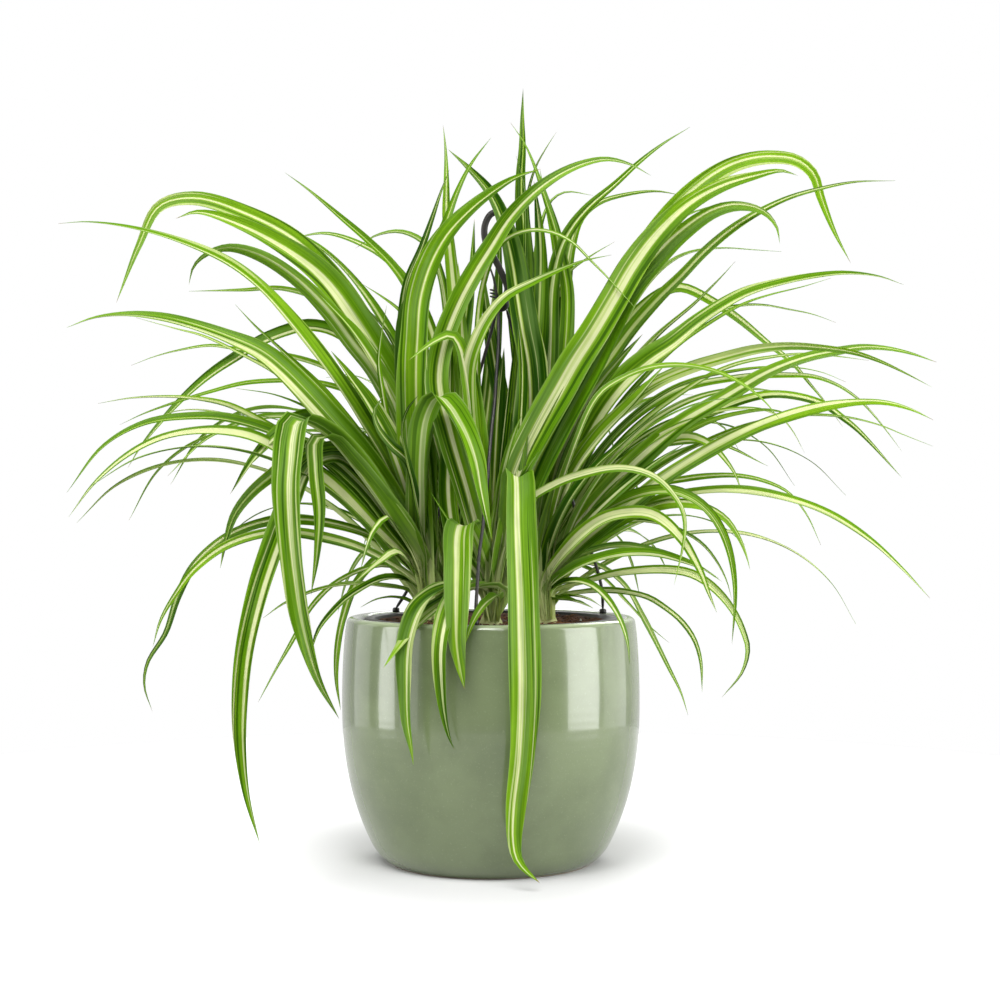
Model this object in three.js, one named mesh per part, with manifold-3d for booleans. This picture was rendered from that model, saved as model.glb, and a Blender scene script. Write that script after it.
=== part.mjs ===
// A variegated spider plant in a glazed pot: five crowns of arching strap leaves in a hanging
// nursery pot, dropped into a round cachepot. Millimetres, +Z up, the viewer looks along +Y.
// The cachepot stands on z = 0 with its axis on the Z axis.
import * as THREE from "three";
import { mergeVertices } from "three/addons/utils/BufferGeometryUtils.js";
import Module from "manifold-3d";

const wasm = await Module();
wasm.setup();

// Driving dimensions
const GAP = 0.3; // clearance left between pieces that touch
const POT_ROUND = 36; // sides of the round pots

// Cachepot: outer radius at each height, then the lip and the cavity
const POT_OUTSIDE = [[62, 0], [65, 2.5], [70, 8], [75, 17.6], [82.2, 36.9], [86.7, 56.2],
  [89.3, 77], [90, 97], [89.3, 120], [88, 138], [87.2, 143.8]];
const POT_TOP = 147.3; // top of the lip
const POT_MOUTH = 79; // radius of the opening
const LIP = { half: 4.1, rise: 3.5 }; // half of its width, and the height of its round top
const POT_FLOOR = 9; // thickness of the floor

// Nursery pot that hangs the plant up when it is out of the cachepot
const LINER_WALL = 1.4;
const LINER_ROUND = 32;
const LINER_FOOT = { radius: 52, z: POT_FLOOR + GAP };
const LINER_RIM = { radius: 76.5, wall: 71.5, z: 146.6, drop: 9 };
const DRAINS = { count: 6, ring: 34, radius: 4 };

const SOIL = { edge: 142.6, middle: 144.4 };
const STUB = { radius: 10, foot: 129, shoulder: 148, top: 190, tip: 8 };
// How far from the crown's middle a leaf starts: sideways, and at most front to back
const ROOT_SHIFT = { across: 3.4, deep: 7 };

// Hanger: a hub with a hook above the leaves' middle and three thin legs to the liner's rim
const LEG_RADIUS = 1;
const HUB = { x: 6, z: 336, radius: 5 };

// The viewer's eye: leaf routes below are read as seen from it, on the plane y = 0
const EYE = { x: 5.5, z: 217.5, distance: 1130 };
const EYE_POINT = new THREE.Vector3(EYE.x, -EYE.distance, EYE.z);

// Where each crown stands in the soil
const CROWNS = {
  left: [-38, -6], right: [33, -8], front: [0, -24], back_left: [-24, 34], back_right: [28, 34],
};

// Leaf blade: keel thickness, and the angle at which each half rises from the keel
const KEEL = 1.2;
const FOLD = { tip: 18, root: 34 };

// Each leaf: [widest, taper, turn at root, turn at tip, depths from root to tip, seen X and Z].
// The turn rolls the upper face toward the viewer, in degrees. A high taper stays broad for longer.
const LEAVES = {
  left: [
    // the upper fan, from the top down
    [13.5, 3.2, 70, 55, [0, 14, 25], [-42, 190, -54, 262, -84, 334, -116, 372, -150, 391, -180, 400,
     -201, 395, -213, 372, -227, 337]],
    [19.5, 2.8, 75, 60, [-10, -8, -4], [-40, 200, -48, 262, -62, 294, -80, 325, -100, 352, -120, 368,
     -150, 384, -178, 392, -191, 388]],
    [17, 2.6, -55, -50, [-22, -18, -16], [-42, 190, -55, 260, -70, 292, -85, 312, -100, 332, -120, 352,
     -140, 365, -158, 370, -171, 367, -180, 359, -183, 348]],
    [14, 1.8, 60, 30, [-28, -30, -30], [-41, 180, -60, 235, -78, 266, -95, 292, -120, 325, -140, 347,
     -160, 362, -190, 375, -220, 383, -245, 386, -262, 385]],
    [17, 2.2, 70, 40, [-36, -42, -45], [-40, 172, -60, 215, -80, 245, -97, 265, -125, 295, -140, 307,
     -160, 316, -180, 323, -200, 328, -220, 330, -240, 328, -257, 322]],
    [5.5, 2.4, 50, 30, [-24, -24, -20], [-42, 175, -85, 245, -125, 290, -150, 305, -175, 317, -190, 321,
     -215, 328]],
    [7.5, 2.4, 50, 40, [-8, 0, 4], [-43, 178, -68, 236, -85, 263, -102, 284, -131, 312, -142, 322,
     -155, 336]],
    [8.5, 2, 50, 35, [-16, -14, 0], [-42, 168, -70, 215, -95, 240, -125, 256, -145, 268, -160, 275,
     -180, 279, -200, 280, -220, 279, -238, 276]],
    [7, 3.2, 50, 50, [-22, -24, -20], [-42, 168, -75, 212, -100, 240, -130, 258, -160, 267, -180, 268,
     -210, 264, -235, 250, -257, 222]],
    [3.5, 2.5, 45, 40, [-8, -2, 6], [-43, 168, -80, 222, -115, 250, -140, 263, -155, 268, -175, 272,
     -192, 271, -212, 262]],
    [9.5, 2, 50, 55, [-32, -42, -46], [-40, 166, -70, 200, -100, 230, -130, 249, -145, 256, -160, 259,
     -180, 259, -200, 255, -220, 245, -240, 228, -256, 207]],
    [15, 2.2, 60, 60, [-18, -34, -38], [-41, 185, -48, 204, -70, 239, -92, 262, -110, 268, -125, 262,
     -142, 246, -158, 221]],
    [10, 3.2, 60, 70, [-26, -34, -24], [-40, 172, -60, 203, -82, 230, -100, 244, -118, 243, -132, 233,
     -145, 222, -155, 209, -160, 195, -164, 176]],
    [6, 3.2, 60, 70, [-32, -40, -42], [-41, 162, -70, 184, -98, 194, -130, 198, -160, 190, -180, 175,
     -190, 162, -200, 145, -205, 128]],
    [5.5, 3.2, 60, 80, [-18, -20, -20], [-42, 166, -65, 191, -97, 203, -130, 205, -150, 200, -166, 191,
     -181, 176, -190, 158, -197, 137, -208, 119, -210, 105, -205, 89]],
    // the leaves that fold over and hang in front of the left side
    [13, 3.4, 60, 80, [-26, -46, -56, -54, -50], [-42, 176, -68, 224, -92, 246, -111, 240, -122, 217,
     -131, 193, -141, 163, -149, 128, -152, 98, -152, 70, -148, 38, -140, 9]],
    [19, 4, 8, 4, [-20, -26, -32, -37, -42, -46, -51, -76, -84, -86, -86, -85, -84, -83, -82, -81, -80],
     [-39, 166, -60, 204, -80, 233, -97, 254, -108, 262, -116, 265, -119, 258, -121, 240, -122, 225,
     -121, 198, -118, 168, -114, 142, -105, 110, -92, 85]],
    [14.5, 3.4, 6, 4, [-22, -30, -38, -44, -52, -70, -74, -74, -72], [-38, 170, -62, 212, -86, 242,
     -98, 255, -104, 254, -105, 238, -103, 210, -105, 184, -109, 160]],
    // low leaves over the rim and short ones inside it
    [4, 3.2, 30, 40, [-12, -20, -28], [-48, 161, -65, 165, -85, 166.5, -105, 163, -125, 155, -138, 146]],
    [5, 3, 30, 50, [-30, -62, -72], [-47, 166, -63, 170, -80, 163, -95, 151, -105, 138, -110, 121]],
    [5, 3.2, 30, 50, [-4, 2, 10], [-46, 168, -64, 177, -90, 169, -108, 153, -120, 132, -130, 115,
     -141, 95]],
    [5, 2, 10, 10, [-10, -16], [-50, 156, -60, 158.5, -70, 157, -79, 152.5]],
    [5.5, 3, 30, 40, [-30, -44], [-43, 172, -53, 196, -62, 207, -70, 200, -75, 189, -79, 175]],
    [5.5, 3.2, 30, 40, [-34, -52], [-45, 168, -57, 186, -66, 181, -75, 174, -84, 166]],
    // upright leaves left of the middle
    [7.5, 3.2, 80, 70, [-16, -14, -12], [-41, 210, -50, 262, -54, 305, -53, 330, -50, 350, -42, 370,
     -35, 390, -30, 405, -25, 418]],
    [11, 2.4, 80, 60, [-22, -26, -22], [-40, 205, -49, 260, -53, 300, -52, 328, -45, 346, -38, 363,
     -29, 381, -20, 405, -12, 421, 0, 437]],
    [19.5, 2.4, 80, 60, [-30, -40, -46], [-42, 200, -46, 250, -47, 294, -46, 316, -44, 340, -38, 360,
     -28, 378, -15, 392, 0, 404, 15, 413, 30, 418]],
    [9.5, 2.4, 70, 50, [-6, 2, 2], [-39, 205, -41, 280, -44, 324, -50, 345, -60, 360, -75, 375, -90, 388,
     -110, 405, -125, 416]],
    // the broad leaf that kinks and drops in front of the middle
    [17, 3.4, 4, 6, [-24, -32, -40, -46, -54, -74, -78, -78, -76], [-40, 182, -41, 215, -41, 245,
     -38, 268, -31, 280, -25, 275, -19, 266, -13, 254, -8.5, 240, -6, 225, -2, 205, 1, 192]],
    [9.5, 3, 40, 60, [-30, -48, -54], [-41, 180, -46, 215, -50, 240, -61, 251, -69, 262, -71, 271,
     -65, 281]],
    [9, 3, 40, 60, [-34, -50, -52], [-40, 185, -47, 225, -52, 247, -54, 260, -51, 272, -44, 281]],
    [5.5, 2.4, 80, 80, [-20, -30, -32], [-41, 190, -54, 236, -62, 263, -66, 285, -68, 302, -66, 320,
     -63, 336]],
    [7, 2, 60, 60, [-12, -4, 0], [-39, 210, -40, 270, -46, 318, -55, 332, -65, 340, -79, 349]],
    [9, 2.4, -60, -60, [-14, -18, -16], [-41, 215, -46, 270, -54, 300, -62, 318, -70, 328, -77, 335]],
    [14, 2.8, 60, 60, [-24, -32, -34], [-40, 190, -56, 245, -72, 275, -86, 294, -97, 308]],
    [13, 2.8, 70, 60, [-16, -24, -26], [-40, 200, -50, 262, -66, 296, -84, 322, -104, 342]],
  ],
  right: [
    [13.5, 3.2, 72, 60, [0, 14, 25], [37, 190, 46, 262, 72, 330, 98, 376, 120, 402, 140, 417, 155, 423,
     170, 425, 185, 423, 195, 415, 200, 400, 208, 380, 218, 361]],
    [15, 1.8, 60, 30, [-12, -14, -14], [31, 185, 36, 225, 44, 248, 60, 282, 75, 304, 88, 322, 102, 338,
     116, 352, 130, 367, 145, 380, 160, 390, 180, 400, 200, 406, 220, 410, 245, 411]],
    [14, 2.2, 70, 40, [-20, -28, -34], [34, 175, 42, 215, 53, 248, 66, 272, 80, 290, 95, 303, 110, 313,
     125, 325, 140, 335, 155, 343, 175, 349, 195, 353, 215, 355, 235, 353, 250, 348]],
    [9.5, 2, -50, -35, [-26, -38, -44], [34, 205, 44, 239, 60, 257, 75, 270, 90, 283, 103, 291, 120, 298,
     140, 304, 160, 309, 180, 311, 200, 310, 220, 307, 235, 302, 250, 295, 267, 286]],
    [5.5, 2.4, 50, 30, [-6, -2, 4], [38, 190, 70, 262, 108, 306, 138, 328, 155, 337, 170, 342, 190, 347,
     206, 352]],
    [7.5, 2.4, 50, 40, [-4, 0, 4], [37, 200, 68, 275, 98, 314, 124, 337, 139, 352, 148, 362]],
    [13.5, 3.2, 60, 35, [-18, -24, -26], [33, 168, 50, 196, 76, 226, 105, 253, 120, 265, 135, 274,
     150, 283, 165, 292, 180, 299, 195, 304, 210, 307, 225, 309.5, 240, 309, 255, 306, 270, 301]],
    [11.5, 3.2, 60, 40, [-24, -44, -56], [33, 164, 50, 184, 70, 201, 90, 216, 105, 228, 120, 238,
     135, 247, 150, 255, 165, 262, 185, 269, 205, 274, 225, 276.5, 240, 276, 255, 272, 268, 266]],
    [4.5, 2.4, 45, 35, [-4, 2, 6], [38, 172, 90, 228, 140, 257, 180, 268, 212, 268, 235, 263, 250, 257,
     268, 250]],
    [4.5, 2.4, 45, 40, [0, 8, 12], [40, 200, 70, 252, 110, 285, 150, 296, 180, 298, 200, 295, 215, 289]],
    [6.5, 2.4, 40, 50, [-34, -52, -62], [35, 190, 52, 252, 66, 281, 80, 291, 95, 297, 110, 299, 125, 298,
     140, 294, 155, 286, 166, 277, 176, 265]],
    [8.5, 2, 50, 50, [-8, -6, 0], [35, 172, 70, 218, 100, 247, 130, 264, 150, 270, 170, 272, 187, 267]],
    [4, 2.4, 50, 60, [2, 12, 20], [40, 180, 80, 240, 125, 268, 160, 273, 175, 268, 183, 259, 190, 246]],
    [4.5, 2.4, 50, 60, [-2, 4, 8], [39, 178, 64, 230, 95, 258, 120, 268, 139, 263, 146, 255, 151, 246]],
    [8.5, 3.2, 50, 60, [-14, -12, -8], [36, 172, 60, 214, 84, 240, 105, 253, 120, 256, 133, 251, 141, 243,
     148, 233, 152, 222]],
    [7, 4.4, 50, 35, [-20, -32, -38], [34, 163, 60, 194, 90, 212, 120, 221, 150, 223, 180, 218, 205, 209,
     230, 193, 250, 175, 266, 158]],
    [4.5, 3.2, 50, 50, [0, 6, 10], [38, 168, 75, 211, 100, 226, 118, 230, 135, 232, 150, 232, 165, 229,
     180, 222, 191, 209, 200, 190]],
    // the leaves that arch over low on the right and hang
    [6, 3, 60, 75, [-28, -48, -56], [34, 168, 58, 204, 78, 217, 95, 223, 110, 223.5, 122, 219, 132, 211,
     140, 199, 145, 185, 147.5, 170, 148, 155, 147, 142, 146, 130]],
    [7, 3, 60, 70, [-16, -26, -30], [35, 167, 68, 198, 98, 213, 115, 215.5, 130, 213, 142, 206, 150, 195,
     155, 183, 157, 175]],
    [7.5, 3.4, 60, 70, [-36, -62, -72], [33, 168, 50, 192, 68, 206, 85, 210, 97, 209, 107, 203, 117, 192,
     123, 182, 128, 172, 132, 161, 137, 149]],
    [3, 3.2, 50, 60, [-6, -4, 0], [38, 172, 65, 197, 85, 205, 100, 204, 115, 199, 128, 191, 137, 180,
     143, 168, 146, 157]],
    [5, 3.2, 50, 50, [2, 12, 20], [37, 168, 50, 182, 65, 188, 80, 190, 95, 188, 110, 184, 125, 178,
     140, 168]],
    [8, 2.2, 50, 50, [-30, -46, -52], [34, 162, 46, 173, 60, 180, 80, 185, 100, 185, 115, 181, 130, 175,
     138, 170]],
    [5.5, 3.2, 50, 60, [-16, -22, -22], [38, 160, 60, 168, 80, 173, 105, 175, 120, 173, 130, 168,
     140, 159, 148, 148, 153, 137, 155.5, 127, 152, 113, 140, 98]],
    [5, 3.2, 40, 60, [-4, 4, 8], [42, 158, 55, 161, 68, 162, 82, 161, 95, 158, 105, 152, 115, 144,
     123, 133, 127, 120, 128, 101]],
    [5.5, 2.4, 30, 40, [-36, -58, -66], [38, 163, 50, 168, 60, 166, 68, 160, 75, 151, 80, 141, 83, 130,
     84, 118]],
    [7.5, 2.4, 0, 0, [-20, -32], [36, 156, 44, 157, 53, 155.5, 62, 152]],
    [6.5, 2.4, 0, 0, [-14, -18], [42, 158, 52, 159, 60, 157, 67, 153]],
    // upright leaves right of the middle
    [5.5, 2.4, 60, 50, [-2, 6, 8], [33, 240, 34, 300, 38, 335, 45, 353, 60, 365, 75, 374]],
    [11, 2.4, 80, 50, [-6, -6, -12], [35, 220, 42, 280, 46, 325, 46, 345, 43, 362, 39, 381, 33, 400,
     29, 412, 25, 423, 20, 434, 12, 446]],
    [9, 2.4, 80, 70, [0, 10, 12], [34, 240, 40, 300, 42, 340, 39, 370, 35, 390, 32, 405, 29.5, 419]],
    [8.5, 3.2, 60, 50, [0, 16, 20], [36, 240, 44, 320, 49, 370, 55, 388, 65, 397, 80, 402, 100, 404.5,
     116, 402]],
    [11, 3.2, 70, 40, [-10, -8, -8], [32, 230, 36, 300, 38, 348, 43, 370, 50, 383, 60, 395, 75, 408,
     90, 422, 104, 433, 120.6, 443.5]],
    [14, 2.8, 60, 60, [-14, -20, -22], [34, 195, 44, 246, 58, 276, 76, 300, 92, 318]],
    [13, 2.8, 60, 50, [-24, -30, -32], [34, 190, 48, 232, 66, 258, 88, 280, 106, 300]],
    [9.5, 2.6, 50, 40, [-30, -36, -38], [34, 180, 46, 214, 62, 236, 82, 254, 100, 270]],
    [9.5, 2.6, 50, 40, [-24, -38, -44], [35, 172, 56, 200, 78, 222, 100, 240, 118, 252]],
  ],
  front: [
    // broad leaves folded over the front rim
    [16.5, 6, 0, 0,
     [-36, -44, -54, -66, -80, -89, -94, -97, -99, -100, -100, -100, -99, -98, -98, -99, -100], [9, 178,
     13, 208, 15.5, 229, 16, 232.5, 16.5, 226, 17, 200, 19, 150, 20, 100, 18, 60, 14.5, 30, 14, 10, 16, 0,
     21, -7, 29.7, -14.6]],
    [15, 5, 0, 0, [-34, -46, -66, -84, -92, -96, -98, -99, -99], [-3, 168, -10, 190, -17, 202, -19, 196,
     -19.5, 178, -20, 150, -20, 130, -18, 115, -16, 103]],
    [13, 3, 10, 10, [-40, -58, -78, -92, -98], [5, 162, -2, 164.5, -12, 163, -25, 157, -38, 148.5,
     -50, 136, -65, 116]],
    [12.5, 3.2, 0, 10, [-52, -78, -90, -93, -92, -91, -90], [-8, 162, -24, 163, -36, 159, -45, 149,
     -51, 130, -52, 105, -51, 82, -48, 65, -47, 57]],
    [10, 3.2, 0, 0, [-62, -88, -97, -98, -97, -96, -95], [-3, 162, -12, 164, -21, 160, -27, 149, -31, 128,
     -30, 100, -28, 85, -25, 73, -22, 66]],
    [7, 2.8, 0, 0, [-70, -88, -94, -95], [5, 158, 0, 157, -7, 150, -12, 141, -16, 129]],
    // leaves that rise from the front crown and lean right
    [18.5, 3, 80, 74, [-30, -30, -28, -26], [2, 168, 5, 190, 9, 208, 16, 235, 28, 260, 42, 285, 51, 301,
     62, 318, 75, 340, 86, 359, 101, 379, 120, 397, 140, 408, 160, 414, 176, 417, 186, 414]],
    [16, 3, 80, 62, [-28, -28, -24, -22], [8, 175, 20, 215, 30, 240, 38, 256, 48, 275, 60, 297, 72, 322,
     85, 345, 100, 363, 116, 379, 135, 392, 150, 395.5, 165, 392, 173, 383, 175, 373]],
    [5.5, 2.6, 50, 60, [-44, -62, -70], [8, 180, 20, 213, 39, 226.5, 55, 232.5, 75, 236.5, 90, 235,
     101, 230, 110, 221, 116, 211, 117.5, 200, 116, 188, 111, 166]],
    [3, 2.4, 60, 60, [-30, -30, -30], [3, 185, 2.5, 212, 5, 229, 12, 243, 23, 255]],
    // upright and arching leaves of the middle
    [14, 3, 80, 50, [-27, -34, -46], [-5, 180, -7, 215, -9, 250, -11, 275, -15, 299, -19, 312, -24, 317.5,
     -32, 315, -41, 309, -50, 302]],
    [11, 2.6, 80, 80, [-28, -28, -26], [-6, 168, -20, 188, -26, 215, -26, 250, -25, 290, -24, 322]],
    [5.5, 2.4, 40, 40, [-42, -50], [-6, 172, -19, 195, -29, 210, -37, 223]],
    [12, 2.6, 60, 60, [-22, -16, -12], [-3, 180, -12, 208, -22, 234, -30, 262]],
    [13, 2, 80, 70, [-20, -8, -4], [-5, 200, -14, 270, -21, 330, -25, 370, -27, 392, -27, 412, -27.5, 430,
     -29, 445]],
    [18.5, 2.8, 85, 60, [-22, -18, -18], [7, 190, 20, 235, 26, 270, 25, 300, 21, 322, 18, 341, 15, 360,
     10, 380, 4, 396, -2, 406, -14, 419, -26, 430]],
    [15, 2.2, 80, 55, [-36, -33, -32, -30], [-4, 180, -14, 220, -25, 258, -32, 290, -28, 315, -20, 336,
     -10, 355, 0, 371, 11, 388, 25, 403, 40, 414, 55, 421, 70, 424, 84, 421, 97, 414]],
    [4.5, 2.4, 60, 60, [-26, -26, -34], [-3, 230, -8, 295, -6, 340, 0, 362, 5, 371, 12, 377, 25, 381,
     39, 379, 50, 373, 60, 363, 70, 353, 80, 342, 91, 330]],
    [11, 2.4, 75, 50, [-32, -46, -52], [-5, 215, -12, 262, -13, 298, -8, 315, 0, 330, 10, 341, 25, 349,
     40, 356, 55, 362, 73, 366]],
    [11, 3.2, 80, 80, [-18, 0, 4], [6, 200, 14, 262, 20, 320, 20, 370, 18, 400, 18, 415, 19, 430, 19, 450,
     19.5, 467]],
    [5.5, 2.4, 70, 60, [-16, 8, 12], [9, 215, 21, 290, 25, 350, 22, 398, 24, 410, 27.5, 420, 33, 430,
     40, 441]],
    [5.5, 2.4, 80, 70, [-18, -12, -10], [6, 210, 15, 280, 20, 345, 21, 385, 20, 408, 15, 427]],
    [15, 3, 80, 80, [-18, -8, -6], [8, 200, 21, 255, 28, 310, 30, 350, 30, 372, 28, 395, 26, 411]],
    [13, 2.8, 80, 80, [-16, -10, -8], [2, 190, 4, 240, 6, 280, 8, 310]],
    [11, 2.8, 80, 80, [-28, -30, -26], [-4, 190, -10, 240, -15, 284, -18, 330, -20, 362]],
    [11, 2.8, 80, 80, [-30, -28, -26], [6, 185, 14, 222, 18, 262, 19, 300, 16, 330]],
  ],
  back_left: [
    [9.5, 3.2, 40, 30, [40, 46, 52], [-30, 220, -66, 300, -96, 334, -125, 345, -150, 344.5, -183, 344]],
    [7, 2, 40, 40, [38, 46, 60], [-36, 220, -76, 280, -100, 297, -125, 305, -155, 309, -170, 311,
     -190, 308, -205, 304, -218, 299]],
    [9, 3.2, 50, 60, [40, 54, 70], [-30, 215, -64, 290, -92, 318, -110, 323, -124, 320, -140, 313.5,
     -155, 304, -170, 294, -185, 281, -200, 265, -212, 250, -220, 237]],
    [5, 3.2, 50, 50, [34, 38, 48], [-34, 205, -56, 260, -72, 277, -92, 285, -110, 289, -130, 289.5,
     -150, 288, -170, 283, -190, 277, -210, 270, -225, 263]],
    [7.5, 2.8, 40, 60, [42, 42, 40], [-36, 180, -62, 184, -80, 168, -89, 146, -93, 125, -93.5, 108,
     -91, 90]],
    [8, 3.2, 60, 50, [34, 26, 24], [-20, 230, -26, 320, -31, 355, -39, 372, -54, 380, -69, 378,
     -82, 370]],
    [8.5, 3.2, 60, 50, [38, 36, 42], [-23, 240, -36, 318, -48, 344, -60, 360, -76, 371, -100, 379,
     -124, 375]],
    [9.5, 2.6, 40, 40, [40, 50, 58], [-28, 230, -52, 300, -84, 352, -112, 376, -140, 384]],
    [9, 2.4, 40, 50, [42, 56, 66], [-32, 200, -62, 240, -96, 262, -134, 268, -170, 256, -196, 232]],
    // leaves that stand in the dark behind the hanger
    [12, 3, 80, 70, [36, 30, 24], [-20, 180, -8, 230, 0, 290, 4, 340, 6, 385]],
    [10.5, 3, 75, 70, [40, 44, 44], [-22, 180, -22, 240, -18, 300, -12, 350, -10, 388]],
  ],
  back_right: [
    [7.5, 2.4, 40, 30, [40, 46, 54], [34, 210, 64, 290, 92, 344, 108, 361, 121, 367.5, 140, 370, 160, 369,
     176, 368]],
    [7, 2, 40, 40, [38, 46, 58], [40, 210, 72, 275, 100, 310, 130, 330, 150, 335, 165, 335.5, 180, 333,
     195, 330, 209, 325]],
    [9.5, 2, 50, 60, [42, 56, 72], [34, 210, 60, 285, 90, 332, 113, 346, 135, 337, 150, 327, 168, 312,
     182, 301, 193, 288, 203, 276, 213, 262]],
    [5.5, 2.4, 50, 40, [36, 42, 52], [38, 190, 82, 255, 120, 285, 135, 294, 150, 300, 170, 304, 190, 306,
     210, 304.5, 229, 302]],
    [7, 3.2, 50, 60, [38, 44, 56], [38, 180, 80, 232, 122, 264, 168, 281, 200, 276, 212, 268, 221, 261,
     231, 251, 240, 241, 249, 231]],
    [5.5, 2.4, 50, 60, [42, 58, 72], [36, 190, 72, 252, 110, 282, 150, 291.5, 180, 293, 196, 292,
     210, 287, 222, 279, 231, 270, 240, 259, 249, 247]],
    [5, 3.2, 30, 60, [46, 62, 64], [42, 175, 62, 178, 80, 166, 92, 146, 101, 129, 108, 115, 115, 101,
     119.5, 87]],
    [4.5, 2.2, 30, 50, [56, 74, 78], [40, 178, 62, 174, 82, 156, 96, 141, 108, 131]],
    [7.5, 2.4, 60, 50, [36, 28, 26], [26, 250, 25, 330, 29, 376, 36, 398, 45, 404, 62, 402]],
    [9.5, 2.6, 40, 40, [40, 50, 58], [32, 230, 54, 300, 86, 356, 112, 386, 140, 398]],
    [9, 2.4, 40, 50, [42, 56, 66], [36, 190, 66, 232, 100, 250, 136, 252, 168, 238]],
    // leaves that stand in the dark behind the hanger
    [12, 3, 80, 70, [30, 22, 18], [24, 180, 14, 235, 4, 290, -3, 335, -6, 366]],
    [10.5, 3, 75, 70, [38, 44, 44], [26, 190, 24, 250, 16, 310, 12, 350, 13, 392]],
  ],
};

// Leaves that the front ones hide: [leaves, plan angle from and to, length from and to, rise from and to].
const HIDDEN = {
  left: [[2, 165, 205, 150, 230, 70, 82], [2, 150, 215, 230, 290, 52, 66]],
  right: [[3, -25, 15, 150, 230, 70, 82]],
  front: [[2, 288, 310, 110, 170, 80, 86]],
  back_left: [[4, 96, 166, 160, 250, 68, 84], [5, 92, 166, 260, 330, 50, 70], [4, 98, 160, 190, 260, 28, 46]],
  back_right: [[4, 14, 84, 160, 250, 68, 84], [5, 12, 88, 260, 330, 50, 70], [4, 14, 80, 190, 260, 28, 46]],
};
const SEED = 20;

const rad = THREE.MathUtils.degToRad;

// Park-Miller draw: the same row of numbers between 0 and 1 each time
function draws(seed) {
  let state = seed;
  return () => (state = (state * 16807) % 2147483647) / 2147483647;
}

const finish = (color, roughness) => new THREE.MeshStandardMaterial({ color, roughness, metalness: 0 });
const MATERIALS = {
  glaze: finish(0x7e9278, 0.18),
  plastic: finish(0x1d1f20, 0.5),
  peat: finish(0x3d2a1c, 0.95),
  leaf: finish(0x5f9a2c, 0.45),
};

// A geometry as a solid that can be joined and cut, and back again
function solid(geometry) {
  const bare = geometry.clone();
  bare.deleteAttribute("normal");
  bare.deleteAttribute("uv");
  const merged = mergeVertices(bare, 1e-4);
  return new wasm.Manifold(new wasm.Mesh({
    numProp: 3,
    vertProperties: new Float32Array(merged.attributes.position.array),
    triVerts: new Uint32Array(merged.index.array),
  }));
}

function meshOf(name, body, material) {
  const { vertProperties, triVerts } = body.getMesh();
  const geometry = new THREE.BufferGeometry();
  geometry.setAttribute("position", new THREE.BufferAttribute(new Float32Array(vertProperties), 3));
  geometry.setIndex(new THREE.BufferAttribute(new Uint32Array(triVerts), 1));
  geometry.computeVertexNormals();
  const mesh = new THREE.Mesh(geometry, material);
  mesh.name = name;
  return mesh;
}

// A profile of [radius, z] from the axis round to the axis, outside first, turned about Z
function turned(profile, sides) {
  const points = profile.map(([radius, z]) => new THREE.Vector2(radius, z));
  return solid(new THREE.LatheGeometry(points, sides).rotateX(Math.PI / 2));
}

// A round bar of the given radius along a curve
function bar(curve, radius, steps, sides = 6) {
  const ring = Array.from({ length: sides }, (_, i) => {
    const a = (2 * Math.PI * i) / sides;
    return new THREE.Vector2(radius * Math.cos(a), radius * Math.sin(a));
  });
  return solid(new THREE.ExtrudeGeometry(new THREE.Shape(ring), { steps, extrudePath: curve }));
}

function cachepot() {
  const lip = Array.from({ length: 6 }, (_, i) => {
    const a = (Math.PI * i) / 5;
    return [POT_MOUTH + LIP.half * (1 + Math.cos(a)), POT_TOP - LIP.rise * (1 - Math.sin(a))];
  });
  const inside = [[POT_MOUTH + 1.6, 136], [83, 104], [80, 56], [74, 34], [62, 12], [54, POT_FLOOR],
    [0, POT_FLOOR]];
  return turned([[0, 0], ...POT_OUTSIDE, ...lip.slice(1), ...inside], POT_ROUND);
}

function liner() {
  const { radius, wall, z, drop } = LINER_RIM;
  const foot = LINER_FOOT;
  const shell = turned([[0, foot.z], [foot.radius - 2, foot.z], [foot.radius, foot.z + 2],
    [wall, z - drop], [radius, z - drop], [radius, z - 0.8], [radius - 0.8, z], [wall - LINER_WALL, z],
    [foot.radius - LINER_WALL, foot.z + 3.4], [foot.radius - 2 * LINER_WALL, foot.z + LINER_WALL],
    [0, foot.z + LINER_WALL]], LINER_ROUND);
  const drain = wasm.Manifold.cylinder(6, DRAINS.radius, DRAINS.radius, 10);
  const drains = Array.from({ length: DRAINS.count }, (_, i) => {
    const a = (2 * Math.PI * i) / DRAINS.count;
    return drain.translate([DRAINS.ring * Math.cos(a), DRAINS.ring * Math.sin(a), foot.z - 2]);
  });
  return shell.subtract(wasm.Manifold.union(drains));
}

function soil() {
  const foot = LINER_FOOT.radius - 2 * LINER_WALL - GAP;
  const base = LINER_FOOT.z + LINER_WALL + GAP;
  const edge = LINER_RIM.wall - LINER_WALL - GAP - 0.9;
  const mound = Array.from({ length: 4 }, (_, i) => {
    const s = i / 3;
    return [edge * (1 - s), SOIL.edge + (SOIL.middle - SOIL.edge) * Math.sin((s * Math.PI) / 2)];
  });
  const filling = turned([[0, base], [foot - 1, base], [foot, base + 3], ...mound], LINER_ROUND);
  const hole = wasm.Manifold.cylinder(40, STUB.radius + GAP, STUB.radius + GAP, 14);
  const holes = Object.values(CROWNS).map(([x, y]) => hole.translate([x, y, STUB.foot - GAP]));
  return filling.subtract(wasm.Manifold.union(holes));
}

// The clasped leaf bases of one crown, standing in the soil
function stub([x, y]) {
  const { radius, foot, shoulder, top, tip } = STUB;
  const profile = [[0, foot], [radius * 0.7, foot], [radius * 0.96, shoulder - 8],
    [radius * 0.96, shoulder], [tip, top], [0, top + 2]];
  return turned(profile, 10).translate([x, y, 0]);
}

const curve = (points) => new THREE.CatmullRomCurve3(points, false, "centripetal");

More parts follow.
